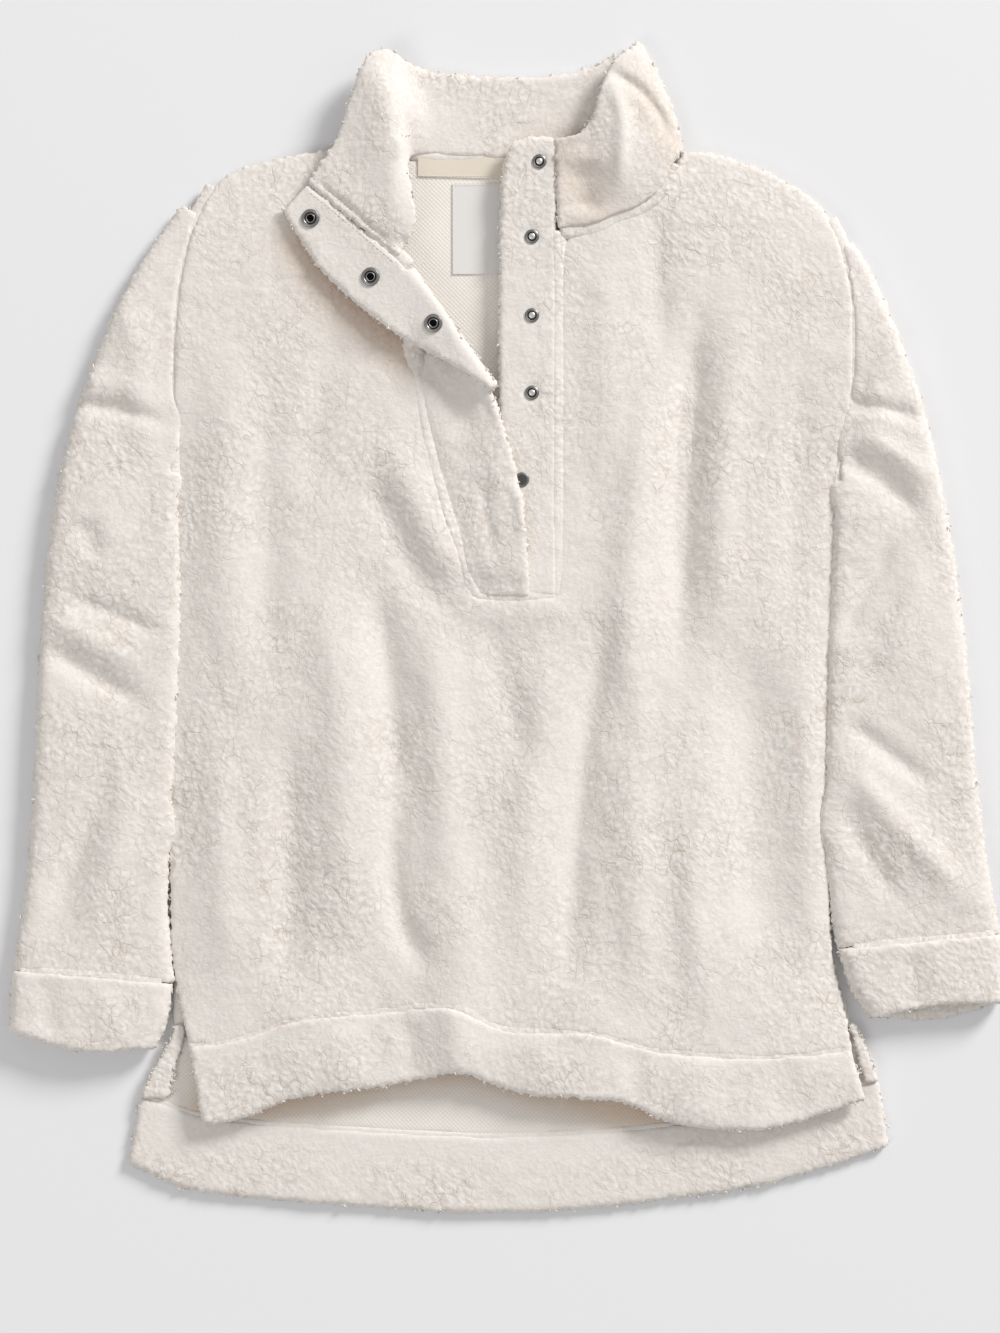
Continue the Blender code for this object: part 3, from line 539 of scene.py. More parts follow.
# %% The creases of each piece
CREASES = {
    "front": [
        Crease((-102, 51), (-88, -40), (-80, -160), 12, -5.0),
        Crease((-84, -110), (-83, -205), (-52, -268), 10, -5.0),
        Crease((-60, 30), (-48, -90), (-46, -230), 17, 5.0),
        Crease((-138, 50), (-124, -90), (-120, -255), 18, 4.0),
        Crease((-162, -60), (-163, -180), (-160, -290), 13, -4.0),
        Crease((148, 262), (134, 130), (130, -50), 11, -5.0),
        Crease((140, 230), (128, 110), (126, -110), 22, -3.0),
        Crease((174, 250), (162, 120), (158, -20), 14, 4.0),
        Crease((112, 200), (92, 40), (98, -110), 15, 4.0),
        Crease((78, 20), (58, -100), (42, -310), 11, -4.5),
        Crease((92, -60), (96, -170), (102, -300), 17, 4.5),
        Crease((36, 0), (20, -110), (6, -280), 17, 4.0),
        Crease((176, 20), (184, -130), (190, -290), 24, -6.0),
        Crease((224, 0), (226, -140), (232, -280), 13, 3.5),
        Crease((138, -120), (140, -200), (146, -305), 12, 3.0),
        Crease((-94, 148), (-60, 80), (-30, 30), 13, 3.2),
        Crease((-108, 128), (-76, 56), (-40, 0), 13, -3.5),
        Crease((-16, 18), (3, -54), (22, -124), 12, -2.2),
        Crease((-46, 14), (6, 14), (60, 15), 13, 2.5),
        Crease((112, 325), (114, 260), (118, 190), 11, -3.0),
        Crease((76, 300), (74, 200), (80, 90), 14, 2.5),
        Crease((-200, 230), (-212, 100), (-206, -60), 18, 3.5),
        Crease((-176, 210), (-180, 60), (-176, -60), 13, -3.0),
        Crease((-120, 240), (-140, 170), (-150, 90), 14, -2.5),
        Crease((222, 220), (216, 90), (212, -20), 12, -2.5),
        Crease((-214, -60), (-214, -170), (-206, -280), 14, 3.0),
    ],
    "hem_front": [
        Crease((-38, -275), (-38, -305), (-38, -345), 12, 3.0),
        Crease((-70, -290), (-72, -315), (-70, -345), 9, -2.0),
        Crease((-120, -290), (-118, -325), (-116, -355), 14, 2.5),
        Crease((20, -300), (24, -325), (26, -355), 16, 2.0),
        Crease((140, -315), (142, -345), (144, -380), 18, 2.5),
        Crease((96, -310), (98, -340), (100, -370), 10, -2.0),
        Crease((206, -315), (208, -345), (210, -375), 14, -2.0),
    ],
    "sleeve_left": [
        Crease((-330, 168), (-292, 164), (-250, 152), 6, -3.5),
        Crease((-334, 184), (-300, 182), (-262, 172), 9, 2.0),
        Crease((-334, 24), (-296, 12), (-250, -10), 7, -3.0),
        Crease((-350, -10), (-314, -34), (-262, -62), 9, -4.5),
        Crease((-346, 10), (-312, -8), (-266, -34), 9, 3.0),
        Crease((-290, -96), (-318, -160), (-346, -235), 11, -4.0),
        Crease((-270, -110), (-292, -170), (-320, -240), 12, 3.0),
        Crease((-318, 84), (-312, 66), (-304, 46), 9, -3.0),
        Crease((-290, 260), (-276, 200), (-270, 120), 12, 2.5),
    ],
    "sleeve_right": [
        Crease((250, 168), (284, 164), (322, 154), 6, -3.5),
        Crease((246, 132), (280, 112), (318, 76), 9, -4.5),
        Crease((256, 148), (290, 132), (326, 104), 8, 3.0),
        Crease((296, 70), (270, 28), (246, -18), 7, -3.5),
        Crease((318, 60), (300, 10), (280, -40), 12, 2.5),
        Crease((250, -66), (284, -92), (326, -124), 8, -3.5),
        Crease((248, -96), (296, -150), (366, -222), 11, 4.0),
        Crease((250, -128), (270, -168), (300, -214), 9, -3.0),
        Crease((300, 240), (282, 190), (276, 130), 12, 2.5),
    ],
    "collar": [
        Crease((76, 416), (87, 375), (82, 318), 6, 4.0),
        Crease((72, 420), (104, 398), (130, 358), 4, -3.5),
        Crease((58, 352), (60, 328), (58, 306), 13, -5.0),
        Crease((4, 370), (30, 372), (66, 366), 5, 3.0),
        Crease((-150, 341), (-115, 312), (-76, 277), 2.0, -2.2),
        Crease((-30, 372), (10, 376), (48, 370), 8, -1.5),
    ],
    "placket_over": [
        Crease((-66, 268), (-46, 236), (-30, 196), 7, 1.5),
        Crease((-72, 220), (-48, 178), (-22, 140), 8, -2.0),
        Crease((4, 128), (10, 100), (14, 62), 5, 2.5),
        Crease((-46, 26), (6, 25), (60, 26), 16, -5.0),
        Crease((-74, 250), (-65, 160), (-22, 16), 9, -2.5),
        Crease((-18, 120), (-14, 80), (-6, 40), 6, -2.0),
    ],
    "cuff_left": [Crease((-345, -262), (-342, -285), (-340, -310), 10, -2.0),
                  Crease((-300, -265), (-298, -290), (-296, -315), 12, 1.5)],
    "cuff_right": [Crease((300, -240), (304, -265), (308, -290), 10, -2.0)],
}

# %% [markdown]
# ## Small shifts across the table
# The front's side lies against the sleeve, and pushes its edge. A shift moves points sideways
# near a line and fades out around it.

# %% A helper for shifts
Shift = namedtuple("Shift", "start middle end reach move")
SHIFTS = {
    "sleeve_left": [Shift((-252, 160), (-250, 20), (-256, -150), 14, (4.0, 0)),
                    Shift((-250, 156), (-249, 134), (-249, 112), 10, (5.0, 0)),
                    Shift((-256, -150), (-258, -200), (-258, -262), 14, (4.5, 0))],
    "sleeve_right": [Shift((252, 150), (249, 0), (247, -150), 14, (-4.0, 0)),
                     Shift((251, 150), (249, 126), (249, 102), 10, (-5.0, 0)),
                     Shift((246, -140), (247, -190), (254, -240), 15, (-6.0, 0))],
    "cuff_right": [Shift((256, -242), (260, -258), (266, -272), 12, (-5.0, 0))],
    "cuff_left": [Shift((-254, -266), (-256, -280), (-258, -292), 12, (3.0, 0))],
}


def shifted(points, shifts):
    moved = points.copy()
    for shift in shifts:
        line = curve_through([shift.start, shift.middle, shift.end], 6)
        apart, _ = distance_to(line, points)
        weight = np.exp(-(apart / (shift.reach * MM)) ** 2)
        moved[:, :2] += weight[:, None] * np.array(shift.move) * MM
    return moved


# %% [markdown]
# ## Where the pile is calm
# The pile lies flat where the cloth is rolled over an edge, stretched, turned in or sewn, and
# under the snaps, which press it down. Each row is a line, its reach and the share of the pile
# that is left on it.

# %% Calm places
Calm = namedtuple("Calm", "start middle end reach left")
CALMS = {
    "placket_over": [Calm((-157, 322), (-108, 266), (-56, 226), 17, 0.2),
                     Calm((-82, 264), (-52, 232), (-24, 194), 22, 0.15)],
    "collar": [Calm((-80, 424), (-76, 360), (-74, 300), 9, 0.3),
               Calm((76, 416), (86, 375), (82, 318), 7, 0.35),
               Calm((4, 372), (30, 373), (62, 362), 6, 0.35)],
    "hem_back": [Calm((-250, -370), (0, -388), (260, -350), 17, 0.12)],
    "hem_front": [Calm((-230, -318), (-80, -291), (-8, -304), 9, 0.45),
                  Calm((-8, -304), (120, -322), (250, -321), 9, 0.45)],
    "cuff_left": [Calm((-366, -262), (-310, -268), (-256, -272), 8, 0.5)],
}


def calmed(points, calms):
    left = np.ones(len(points))
    for calm in calms:
        line = curve_through([calm.start, calm.middle, calm.end], 6)
        apart, _ = distance_to(line, points)
        left *= 1 - (1 - calm.left) * np.exp(-(apart / (calm.reach * MM)) ** 2)
    return left


def clear_of_snaps(points, fade=3.5 * MM):
    """1 away from the snaps, and 0 under them, where the pile is pressed flat."""
    clear = np.ones(len(points))
    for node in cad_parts:
        if node.startswith(("stud", "socket")):
            lo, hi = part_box(node)
            middle, reach = (lo + hi) / 2, (hi.x - lo.x) / 2
            apart = np.hypot(points[:, 0] - middle.x, points[:, 1] - middle.y)
            clear = np.minimum(clear, smoothstep(apart, reach, reach + fade))
    return clear


# %% [markdown]
# ## Where the seams run
# Each row is a seam seen from above: the pieces that it joins, the radius of the pile over it, how
# far that sinks, its line in millimetres, and how much of the pile shows on it, which is all of
# it unless the row says less.

# %% The seams
Seam = namedtuple("Seam", "name nodes radius sink points pile", defaults=(1.0,))
SEAMS = [
    Seam("placket_left_seam", ("front", "placket_over"), 3.8, -0.3,
         [(-71.2, 240), (-68.2, 201), (-61.7, 156), (-50.1, 103.5), (-36.5, 60), (-22.6, 23.6)]),
    Seam("placket_foot_seam", ("front", "placket_over", "placket_under"), 4.2, 0.2,
         [(-22.6, 23.4), (6, 23.2), (37.3, 23.4)]),
    Seam("placket_right_seam", ("front", "placket_under"), 3.8, -0.5,
         [(37.3, 23.4), (37.4, 120), (37.4, 220), (37.6, 297)]),
    Seam("hem_front_seam", ("front", "hem_front"), 3.4, 0.5,
         [(-237, -313), (-200, -309), (-162, -294), (-124, -290), (-80, -286), (-38, -283),
          (-4, -301), (63, -303), (108, -316), (176, -322), (220, -320), (258, -316)]),
    Seam("hem_back_seam", ("hem_back",), 1.8, 0.2,
         [(-272, -352.4), (-230, -366.4), (-184, -372.4), (-117, -377.4), (-4, -382.4),
          (100, -376.4), (190, -362.4), (278, -340.4)], 0.1),
    Seam("armhole_left_seam", ("front", "sleeve_left"), 3.2, 1.0,
         [(-220, 331), (-233.8, 303), (-243.8, 265), (-248.8, 218), (-249.8, 170), (-249.6, 128),
          (-249.8, 108)]),
    Seam("armhole_right_seam", ("front", "sleeve_right"), 3.2, 1.0,
         [(243, 306), (252.8, 282), (259.8, 245), (260.8, 200), (257, 156), (250.2, 122),
          (249, 100)]),
    Seam("neck_right_seam", ("front", "collar"), 3.4, 0.4,
         [(41, 298.5), (64, 300), (82, 308.5), (97, 313.5), (110, 321.5), (121, 334), (127, 347)]),
    Seam("neck_back_seam", ("back",), 2.4, -2.6,
         [(-92, 360), (-70, 356), (-40, 354), (-8, 355), (12, 356.5)], 0.6),
    Seam("lapel_seam", ("collar", "placket_over"), 3.0, 0.4,
         [(-104, 297.4), (-92, 287.6), (-79, 276.5), (-73, 270)], 0.5),
    Seam("cuff_left_seam", ("sleeve_left", "cuff_left"), 3.4, 0.7,
         [(-364, -257.0), (-330, -260.0), (-290, -263.4), (-259, -266.0)]),
    Seam("cuff_right_seam", ("sleeve_right", "cuff_right"), 3.4, 0.7,
         [(260, -240.0), (290, -237.4), (330, -234.0), (365, -230.8)]),
]
# Pile this near to a seam is caught in its stitches.
CAUGHT = 8 * MM


def away_from_seams(points):
    """0 at a seam, and 1 where the pile is free."""
    away = np.ones(len(points))
    for seam in SEAMS:
        apart, _ = distance_to(curve_through(seam.points, 6), points)
        away = np.minimum(away, smoothstep(apart, CAUGHT * 0.5, CAUGHT))
    return away


# %% [markdown]
# ## Where shadow is painted
# The front hem stands over the back, and the turned-out placket stands over the front; a brown
# shadow is painted under their edges. The hollow of the collar gets a little painted shade too.
# Each row is a reach, a depth and a line.

# %% Painted shadows
PaintedShadow = namedtuple("PaintedShadow", "reach depth points")
PAINTED_SHADOWS = {
    "back": [PaintedShadow(17, 0.8, [(-228, -366), (-150, -352), (-43, -329), (50, -352), (128, -368),
                            (265, -352)])],
    "front": [PaintedShadow(20, 0.8, [(-150, 286), (-112, 240), (-72, 210), (-24, 184), (-8, 168)])],
    "collar": [PaintedShadow(24, 0.35, [(42, 354), (58, 330), (66, 308)]),
               PaintedShadow(14, 0.3, [(100, 404), (112, 384), (126, 360)])],
}


def painted_shadow_at(points, shadow_lines):
    painted_shadow = np.zeros(len(points))
    for shadow_line in shadow_lines:
        apart, _ = distance_to(curve_through(shadow_line.points, 8), points)
        painted_shadow = np.maximum(painted_shadow, shadow_line.depth * np.exp(-(apart / (shadow_line.reach * MM)) ** 2))
    return painted_shadow


# %% [markdown]
# ## The cloth pieces
# Each row says which node a piece stands for, how fine its mesh is, which side never shows, and
# the cut that the cloth was made from, in metres, and what it lies on. The back is knit on the
# side that faces up. A crease lifts both faces of the front, and only the upper layer of a sleeve
# or the collar.

# %% Make every cloth piece
Cloth = namedtuple("Cloth", "node grain levels hidden cut lies_on", defaults=((),))
CLOTHS = [
    Cloth("front", 2.1, 2, "under", (0.52, 0.68), ("back",)),
    Cloth("hem_front", 2.1, 2, "under", (0.52, 0.075), ("back",)),
    Cloth("back", 3.0, 0, "over", (0.56, 0.75)),
    Cloth("hem_back", 2.1, 0, "under", (0.575, 0.075)),
    Cloth("sleeve_left", 2.1, 2, "hollow", (0.30, 0.60)),
    Cloth("sleeve_right", 2.1, 2, "hollow", (0.30, 0.56)),
    Cloth("cuff_left", 2.0, 2, "hollow", (0.25, 0.055)),
    Cloth("cuff_right", 2.0, 2, "hollow", (0.25, 0.055)),
    Cloth("collar", 1.9, 2, None, (0.46, 0.08)),
    Cloth("placket_over", 1.8, 2, None, (0.34, 0.05), ("front", "placket_under")),
    Cloth("placket_under", 1.8, 2, "under", (0.345, 0.042), ("back",)),
    Cloth("vent_fold_left", 1.2, 0, "under", (0.07, 0.02)),
    Cloth("vent_fold_right", 1.2, 0, "under", (0.07, 0.012)),
]
# Above this height a point of a tube belongs to its upper layer.
LAYERS_PART = 8 * MM
# A crease doesn't press the front below this height, where the back lies.
LOWEST_FRONT = 4.2 * MM


def fold_piece(piece, node):
    """Lays the creases and the shifts of this node into its cloth."""
    points = shifted(points_of(piece), SHIFTS.get(node, []))
    upper = np.ones(len(points))
    if node not in ("front", "hem_front"):
        upper = smoothstep(points[:, 2], LAYERS_PART - 2 * MM, LAYERS_PART + 4 * MM)
    if node.startswith("placket"):
        upper = upper * clear_of_snaps(points, 9 * MM)
    lifted = points[:, 2] + creased(points, CREASES.get(node, [])) * upper
    if node in ("front", "hem_front"):
        lifted = np.maximum(lifted, LOWEST_FRONT + (points[:, 2] - LOWEST_FRONT) * 0.25)
    points[:, 2] = lifted
    move_to(piece, points)


def hidden_side(piece, side):
    """1 for each point on the side that never shows."""
    if side == "hollow":
        return inside_hollow(piece)
    up = normals_of(piece)[:, 2]
    return (up < -0.5 if side == "under" else up > 0.5).astype(float)


def furry_side(piece, node):
    """1 where the piece has its pile."""
    up = normals_of(piece)[:, 2]
    furry = np.ones(len(up))
    if node == "front":
        furry = smoothstep(up, -0.8, -0.2)
    if node == "back":
        furry = smoothstep(-up, -0.3, 0.3)
    if node.startswith("placket"):
        furry = furry * clear_of_snaps(points_of(piece))
    return furry * calmed(points_of(piece), CALMS.get(node, []))


made = {}
for row in CLOTHS:
    piece = cloth_from(row.node, row.node + "_cloth", row.grain, row.levels)
    if row.hidden:
        thin_out(piece, hidden_side(piece, row.hidden))
    fold_piece(piece, row.node)
    raise_pile(piece, furry_side(piece, row.node))
    # Painted shadow under the edges that stand over this piece.
    store(piece, "painted_shadow", painted_shadow_at(points_of(piece), PAINTED_SHADOWS.get(row.node, [])))
    made[row.node] = dress(piece, sherpa, "sherpa", row.node)

# %% [markdown]
# ## Pile over the seams
# A sewer brushes the pile out of each seam, so that it closes over the stitches. Each seam gets a
# soft roll of pile, sunk a little between the two pieces. A curve with a round bevel follows the
# seam at the height of the cloth beside it, is made wider than it is tall, and is remeshed like
# the cloth.

# %% Helpers for the rolls
ROLL_WIDER = 1.9
BESIDE = (-6 * MM, -4 * MM, 4 * MM, 6 * MM)


def height_above(nodes):
    """Reads the top of these pieces under a point, or None where there is none."""
    trees = [BVHTree.FromPolygons([v.co for v in made[node].data.vertices],
                                  [tuple(p.vertices) for p in made[node].data.polygons])
             for node in nodes]

    def read(x, y):
        hits = [tree.ray_cast(Vector((x, y, 0.1)), Vector((0, 0, -1)))[0] for tree in trees]
        return max((hit.z for hit in hits if hit), default=None)
    return read


def heights_along(line, nodes):
    """The height of the cloth beside each point of a line, smoothed along it."""
    read = height_above(nodes)
    along = np.gradient(line, axis=0)
    along /= np.linalg.norm(along, axis=1)[:, None]
    heights = []
    for (x, y), (dx, dy) in zip(line, along):
        found = [read(x - side * dy, y + side * dx) for side in BESIDE]
        found = [height for height in found if height is not None]
        heights.append(np.median(found) if found else np.nan)
    heights = np.array(heights)
    known = ~np.isnan(heights)
    run = np.arange(len(heights))
    heights = np.interp(run, run[known], heights[known])
    return np.convolve(np.pad(heights, 3, "edge"), np.ones(7) / 7, "valid")


# %% Fill the seams
def seam_roll(seam):
    line = curve_through(seam.points, 8)
    heights = heights_along(line, seam.nodes) - (seam.radius + seam.sink) * MM - PLUMP
    curve = bpy.data.curves.new(seam.name, "CURVE")
    curve.dimensions = "3D"
    curve.bevel_depth = seam.radius * MM
    curve.bevel_resolution = 2
    curve.use_fill_caps = True
    spline = curve.splines.new("POLY")
    spline.points.add(len(line) - 1)
    for point, (x, y), z in zip(spline.points, line, heights):
        point.co = (x, y, max(z, (seam.radius + 0.2) * MM), 1)
    roll = add_object(seam.name, curve)
    use_only(roll)
    bpy.ops.object.convert(target="MESH")
    points = points_of(roll)
    apart = np.hypot(points[:, :1] - line[:, 0], points[:, 1:2] - line[:, 1])
    nearest = line[apart.argmin(axis=1)]
    points[:, :2] = nearest + (points[:, :2] - nearest) * ROLL_WIDER
    move_to(roll, points)
    change(roll, "REMESH", mode="VOXEL", voxel_size=1.4 * MM)
    raise_pile(roll, np.full(len(roll.data.vertices), seam.pile))
    dress(roll, sherpa, "sherpa")


for seam in SEAMS:
    seam_roll(seam)

# %% [markdown]
# ## Small things in great numbers
# Hundreds of loose curls and stitches would be slow as objects of their own. Each kind is
# modelled once, and its points are then copied to every place, turned and sized there, as one
# mesh.

# %% Helpers for copies
def shape_of(piece):
    """Takes the points and the faces of a model, and removes the model."""
    points = points_of(piece)
    faces = [tuple(face.vertices) for face in piece.data.polygons]
    bpy.data.objects.remove(piece)
    return points, faces


def joined_copies(name, shape, turns, spots, lowest=-1.0):
    """One mesh of copies of a shape, each multiplied by its own matrix and moved to its spot."""
    points, faces = shape
    placed = np.concatenate([points @ turn.T + spot for turn, spot in zip(turns, spots)])
    placed[:, 2] = np.maximum(placed[:, 2], lowest)
    every_face = [tuple(k * len(points) + i for i in face)
                  for k in range(len(spots)) for face in faces]
    mesh = bpy.data.meshes.new(name)
    mesh.from_pydata(placed.tolist(), [], every_face)
    mesh.shade_smooth()
    print(name, len(spots), "copies")
    return add_object(name, mesh)


# %% [markdown]
# ## One curl
# At every free edge the pile shows as loose curls, 2 or 3 mm across. A curl is three quarters of a
# small ring, thin at its ends. A square is extruded five times round the ring's middle, and each
# time it is turned on, sized and lifted a little.

# %% Model the curl
CURL_STEPS = 5
CURL_TURN = math.radians(270)
CURL_LIFT = 0.25 / 6


def curl_thickness(step):
    return 0.5 * (1 - 0.5 * abs(2 * step / CURL_STEPS - 1) ** 3)


def one_curl():
    """A curl with a radius of 1."""
    bpy.ops.object.select_all(action="DESELECT")
    bpy.ops.mesh.primitive_circle_add(vertices=4, radius=curl_thickness(0), fill_type="NGON",
                                      location=(1, 0, 0), rotation=(math.radians(-90), 0, 0))
    bpy.ops.object.transform_apply(location=True, rotation=True)
    bpy.ops.object.mode_set(mode="EDIT")
    bpy.ops.mesh.select_all(action="SELECT")
    for step in range(1, CURL_STEPS + 1):
        bpy.ops.mesh.extrude_region_move()
        # With no window, a rotation turns the other way.
        bpy.ops.transform.rotate(value=-CURL_TURN / CURL_STEPS, orient_axis="Z",
                                 center_override=(0, 0, 0))
        turn = CURL_TURN * step / CURL_STEPS
        grow = curl_thickness(step) / curl_thickness(step - 1)
        middle = (math.cos(turn), math.sin(turn), CURL_LIFT * (step - 1))
        bpy.ops.transform.resize(value=(grow,) * 3, center_override=middle)
        bpy.ops.transform.translate(value=(0, 0, CURL_LIFT))
    bpy.ops.mesh.select_all(action="SELECT")
    bpy.ops.mesh.normals_make_consistent(inside=False)
    bpy.ops.object.mode_set(mode="OBJECT")
    return shape_of(bpy.context.object)


curl_shape = one_curl()
print("a curl has", len(curl_shape[0]), "points and", len(curl_shape[1]), "faces")

# %% [markdown]
# ## Curls along the edges
# The curls sit on random points of the cloth's rims, with their own turns and sizes. There are
# none at the seams, near the table or inside a sleeve.

# %% Scatter the curls
CURL_LEAST, CURL_MOST = 0.8, 1.5


def tumbled(a, b, c):
    """The matrix that turns a curl about all three axes."""
    sin, cos = np.sin([a, b, c]), np.cos([a, b, c])
    turn_z = np.array([[cos[0], -sin[0], 0], [sin[0], cos[0], 0], [0, 0, 1]])
    turn_x = np.array([[1, 0, 0], [0, cos[1], -sin[1]], [0, sin[1], cos[1]]])
    turn_y = np.array([[cos[2], 0, sin[2]], [0, 1, 0], [-sin[2], 0, cos[2]]])
    return turn_z @ turn_x @ turn_y


def scatter_curls(name, nodes, share, salt=71):
    """Curls on this share of the points of these pieces' rims."""
    turns, spots = [], []
    for node in nodes:
        piece = made[node]
        place, normal = points_of(piece), normals_of(piece)
        cells = np.round(place / (0.01 * MM))
        rim = ((np.abs(normal[:, 2]) < 0.6) & (chance(cells, salt) < share)
               & (place[:, 2] > 2.4 * MM) & (away_from_seams(place) > 0.9))
        if node.startswith(("sleeve", "cuff")):
            rim &= inside_hollow(piece, 9 * MM) < 0.5
        angles = [chance(cells[rim], salt + k) * 2 * math.pi for k in (1, 2, 3)]
        sizes = (CURL_LEAST + (CURL_MOST - CURL_LEAST) * chance(cells[rim], salt + 4)) * MM
        turns += [tumbled(*turn) * size for size, *turn in zip(sizes, *angles)]
        spots += list(place[rim] + normal[rim] * 0.2 * MM)
    curls = joined_copies(name, curl_shape, turns, spots, lowest=0.1 * MM)
    place = points_of(curls)
    store(curls, "rest", place)
    store(curls, "nub", np.full(len(place), 0.5))
    store(curls, "curly", np.full(len(place), 0.5))
    dress(curls, sherpa, "sherpa")


scatter_curls("hem_curls", ["hem_front", "hem_back", "vent_fold_left", "vent_fold_right"], 0.18)
scatter_curls("body_curls", ["front", "placket_over", "placket_under", "collar"], 0.08)
scatter_curls("sleeve_curls", ["sleeve_left", "sleeve_right", "cuff_left", "cuff_right"], 0.045)

# %% [markdown]
# ## Knit where the back faces up
# The back is one piece of cloth with two faces. Its upper faces take the knit. The tape and the
# label lie on it, and the tape runs up to the collar to cover the seam there.

# %% Give the back its knit face
made["back"].data.materials.append(knit)
for face in made["back"].data.polygons:
    face.material_index = int(face.normal.z > 0.5)
for node, material, slot in (("neck_tape", tape, "tape"), ("label", label_weave, "label")):
    made[node] = dress(copy_of(node, node + "_cloth"), material, slot, node)
TAPE_UP = 4.5 * MM
points = points_of(made["neck_tape"])
points[points[:, 1] > points[:, 1].mean(), 1] += TAPE_UP
move_to(made["neck_tape"], points)

# %% [markdown]
# ## Stitches
# Each stitch is a short thread, a small box with rounded edges. A row of them follows its line,
# each one on whatever cloth lies under it.

# %% The rows
Row = namedtuple("Row", "name nodes pitch points")
tape_low, tape_top = (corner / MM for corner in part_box("neck_tape"))
label_low, label_top = (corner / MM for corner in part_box("label"))
ROWS = [
    Row("tape_upper_stitches", ("neck_tape",), 2.6,
        [(tape_low.x + 2, tape_top.y + 2.6), (tape_top.x - 2, tape_top.y + 2.6)]),
    Row("tape_lower_stitches", ("neck_tape",), 2.6,
        [(tape_low.x + 2, tape_low.y + 2), (tape_top.x - 2, tape_low.y + 2)]),
    Row("label_stitches", ("label",), 2.2,
        [(label_low.x + 1.5, label_top.y - 1.5), (label_top.x - 1.5, label_top.y - 1.5)]),
    Row("lapel_outer_stitches", ("placket_over",), 3.4,
        [(-146.5, 325.5), (-119, 303), (-84, 273)]),
    Row("lapel_inner_stitches", ("collar",), 3.4,
        [(-144, 336.5), (-113, 310), (-82, 284)]),
]
# A stitch takes up this share of its pitch, and is this wide and deep.
STITCH_SHARE = 0.68
STITCH_WIDTH = 0.7 * MM
STITCH_DEPTH = 0.5 * MM


# %% Sew the rows
def one_stitch(pitch):
    bpy.ops.object.select_all(action="DESELECT")
    bpy.ops.mesh.primitive_cube_add(size=1, scale=(pitch * STITCH_SHARE, STITCH_WIDTH,
                                                   STITCH_DEPTH))
    bpy.ops.object.transform_apply(scale=True)
    change(bpy.context.object, "BEVEL", width=0.18 * MM, segments=2)
    return shape_of(bpy.context.object)


def sew(row):
    line = curve_through(row.points, 60)
    pitch = row.pitch * MM
    along = np.concatenate([[0], np.cumsum(np.linalg.norm(np.diff(line, axis=0), axis=1))])
    places = np.arange(0.5 * pitch, along[-1], pitch)
    step = np.gradient(line, axis=0)
    angles = np.interp(places, along, np.arctan2(step[:, 1], step[:, 0]))
    read = height_above(row.nodes)
    turns, spots = [], []
    for place, angle in zip(places, angles):
        x, y = (np.interp(place, along, line[:, k]) for k in (0, 1))
        z = read(x, y)
        if z is not None:
            turns.append(tumbled(angle, 0, 0))
            spots.append(np.array((x, y, z)))
    thread = joined_copies(row.name, one_stitch(pitch), turns, spots)
    dress(thread, tape, "tape")


for row in ROWS:
    sew(row)

# %% [markdown]
# ## Snaps
# The snaps are dark plated metal, a little worn. Small scratches break up their gloss. Shade is
# painted into the grooves between the rings and into the socket's hole, which each mesh says in its
# shade attribute.

# %% The snaps' metal
snap_metal = bpy.data.materials.new("snap_metal")
snap_metal.use_nodes = True
tree = snap_metal.node_tree
shader = tree.nodes["Principled BSDF"]
shader.inputs["Metallic"].default_value = 1.0
place = add_node(tree, "ShaderNodeTexCoord").outputs["Object"]
wear = add_node(tree, "ShaderNodeTexNoise", {"Vector": place, "Scale": 900.0, "Detail": 3.0})
ramp = add_node(tree, "ShaderNodeValToRGB", {"Fac": wear.outputs["Fac"]})
ramp.color_ramp.elements[0].color = (0.75, 0.74, 0.73, 1)
ramp.color_ramp.elements[1].color = (1.0, 0.98, 0.96, 1)
# The shade attribute paints shade into the grooves and the hole.
shade = add_node(tree, "ShaderNodeAttribute", attribute_name="shade").outputs["Fac"]
tree.links.new(blended(tree, 1.0, ramp.outputs["Color"], shade, "MULTIPLY"),
               shader.inputs["Base Color"])
rough = add_node(tree, "ShaderNodeMapRange", {"Value": wear.outputs["Fac"], "To Min": 0.25,
                                              "To Max": 0.5})
tree.links.new(rough.outputs[0], shader.inputs["Roughness"])

# %% [markdown]
# ## Turning the snaps
# A socket is a dished ring with a hole for the stud's head, and a stud is a smaller ring with a
# round post. Each starts as a cylinder whose top face is inset and lifted ring by ring, in
# millimetres.

# %% The rings and their brightness
Ring = namedtuple("Ring", "inset lift")
SOCKET_RINGS = [Ring(0.35, 0.5), Ring(0.9, 0.35), Ring(0.7, -0.1), Ring(0.7, -0.7), Ring(0.5, 0.0),
                Ring(0.35, 0.6), Ring(0.5, 0.1), Ring(0.3, -0.9)]
STUD_RINGS = [Ring(0.3, 0.35), Ring(0.7, 0.25), Ring(0.5, -0.1), Ring(0.6, -0.45), Ring(0.6, 0.0),
              Ring(0.15, 0.9), Ring(0.3, 0.45), Ring(0.6, 0.3)]
FLAT_RINGS = [Ring(0.3, 0.35), Ring(0.7, 0.2), Ring(0.9, 0.0)]
# How bright the plating is painted from the middle out, as (share of the radius, brightness): the
# darkest steps are painted shade in the grooves and the socket's hole, and the stud's post is
# brightest.
SOCKET_SHADES = [(0.0, 0.01), (0.375, 0.01), (0.395, 0.5), (0.49, 0.45), (0.52, 0.08), (0.62, 0.05),
                 (0.69, 0.3), (0.82, 0.42), (1.0, 0.25)]
STUD_SHADES = [(0.0, 1.0), (0.42, 0.95), (0.47, 0.10), (0.62, 0.06), (0.72, 0.40), (1.0, 0.25)]


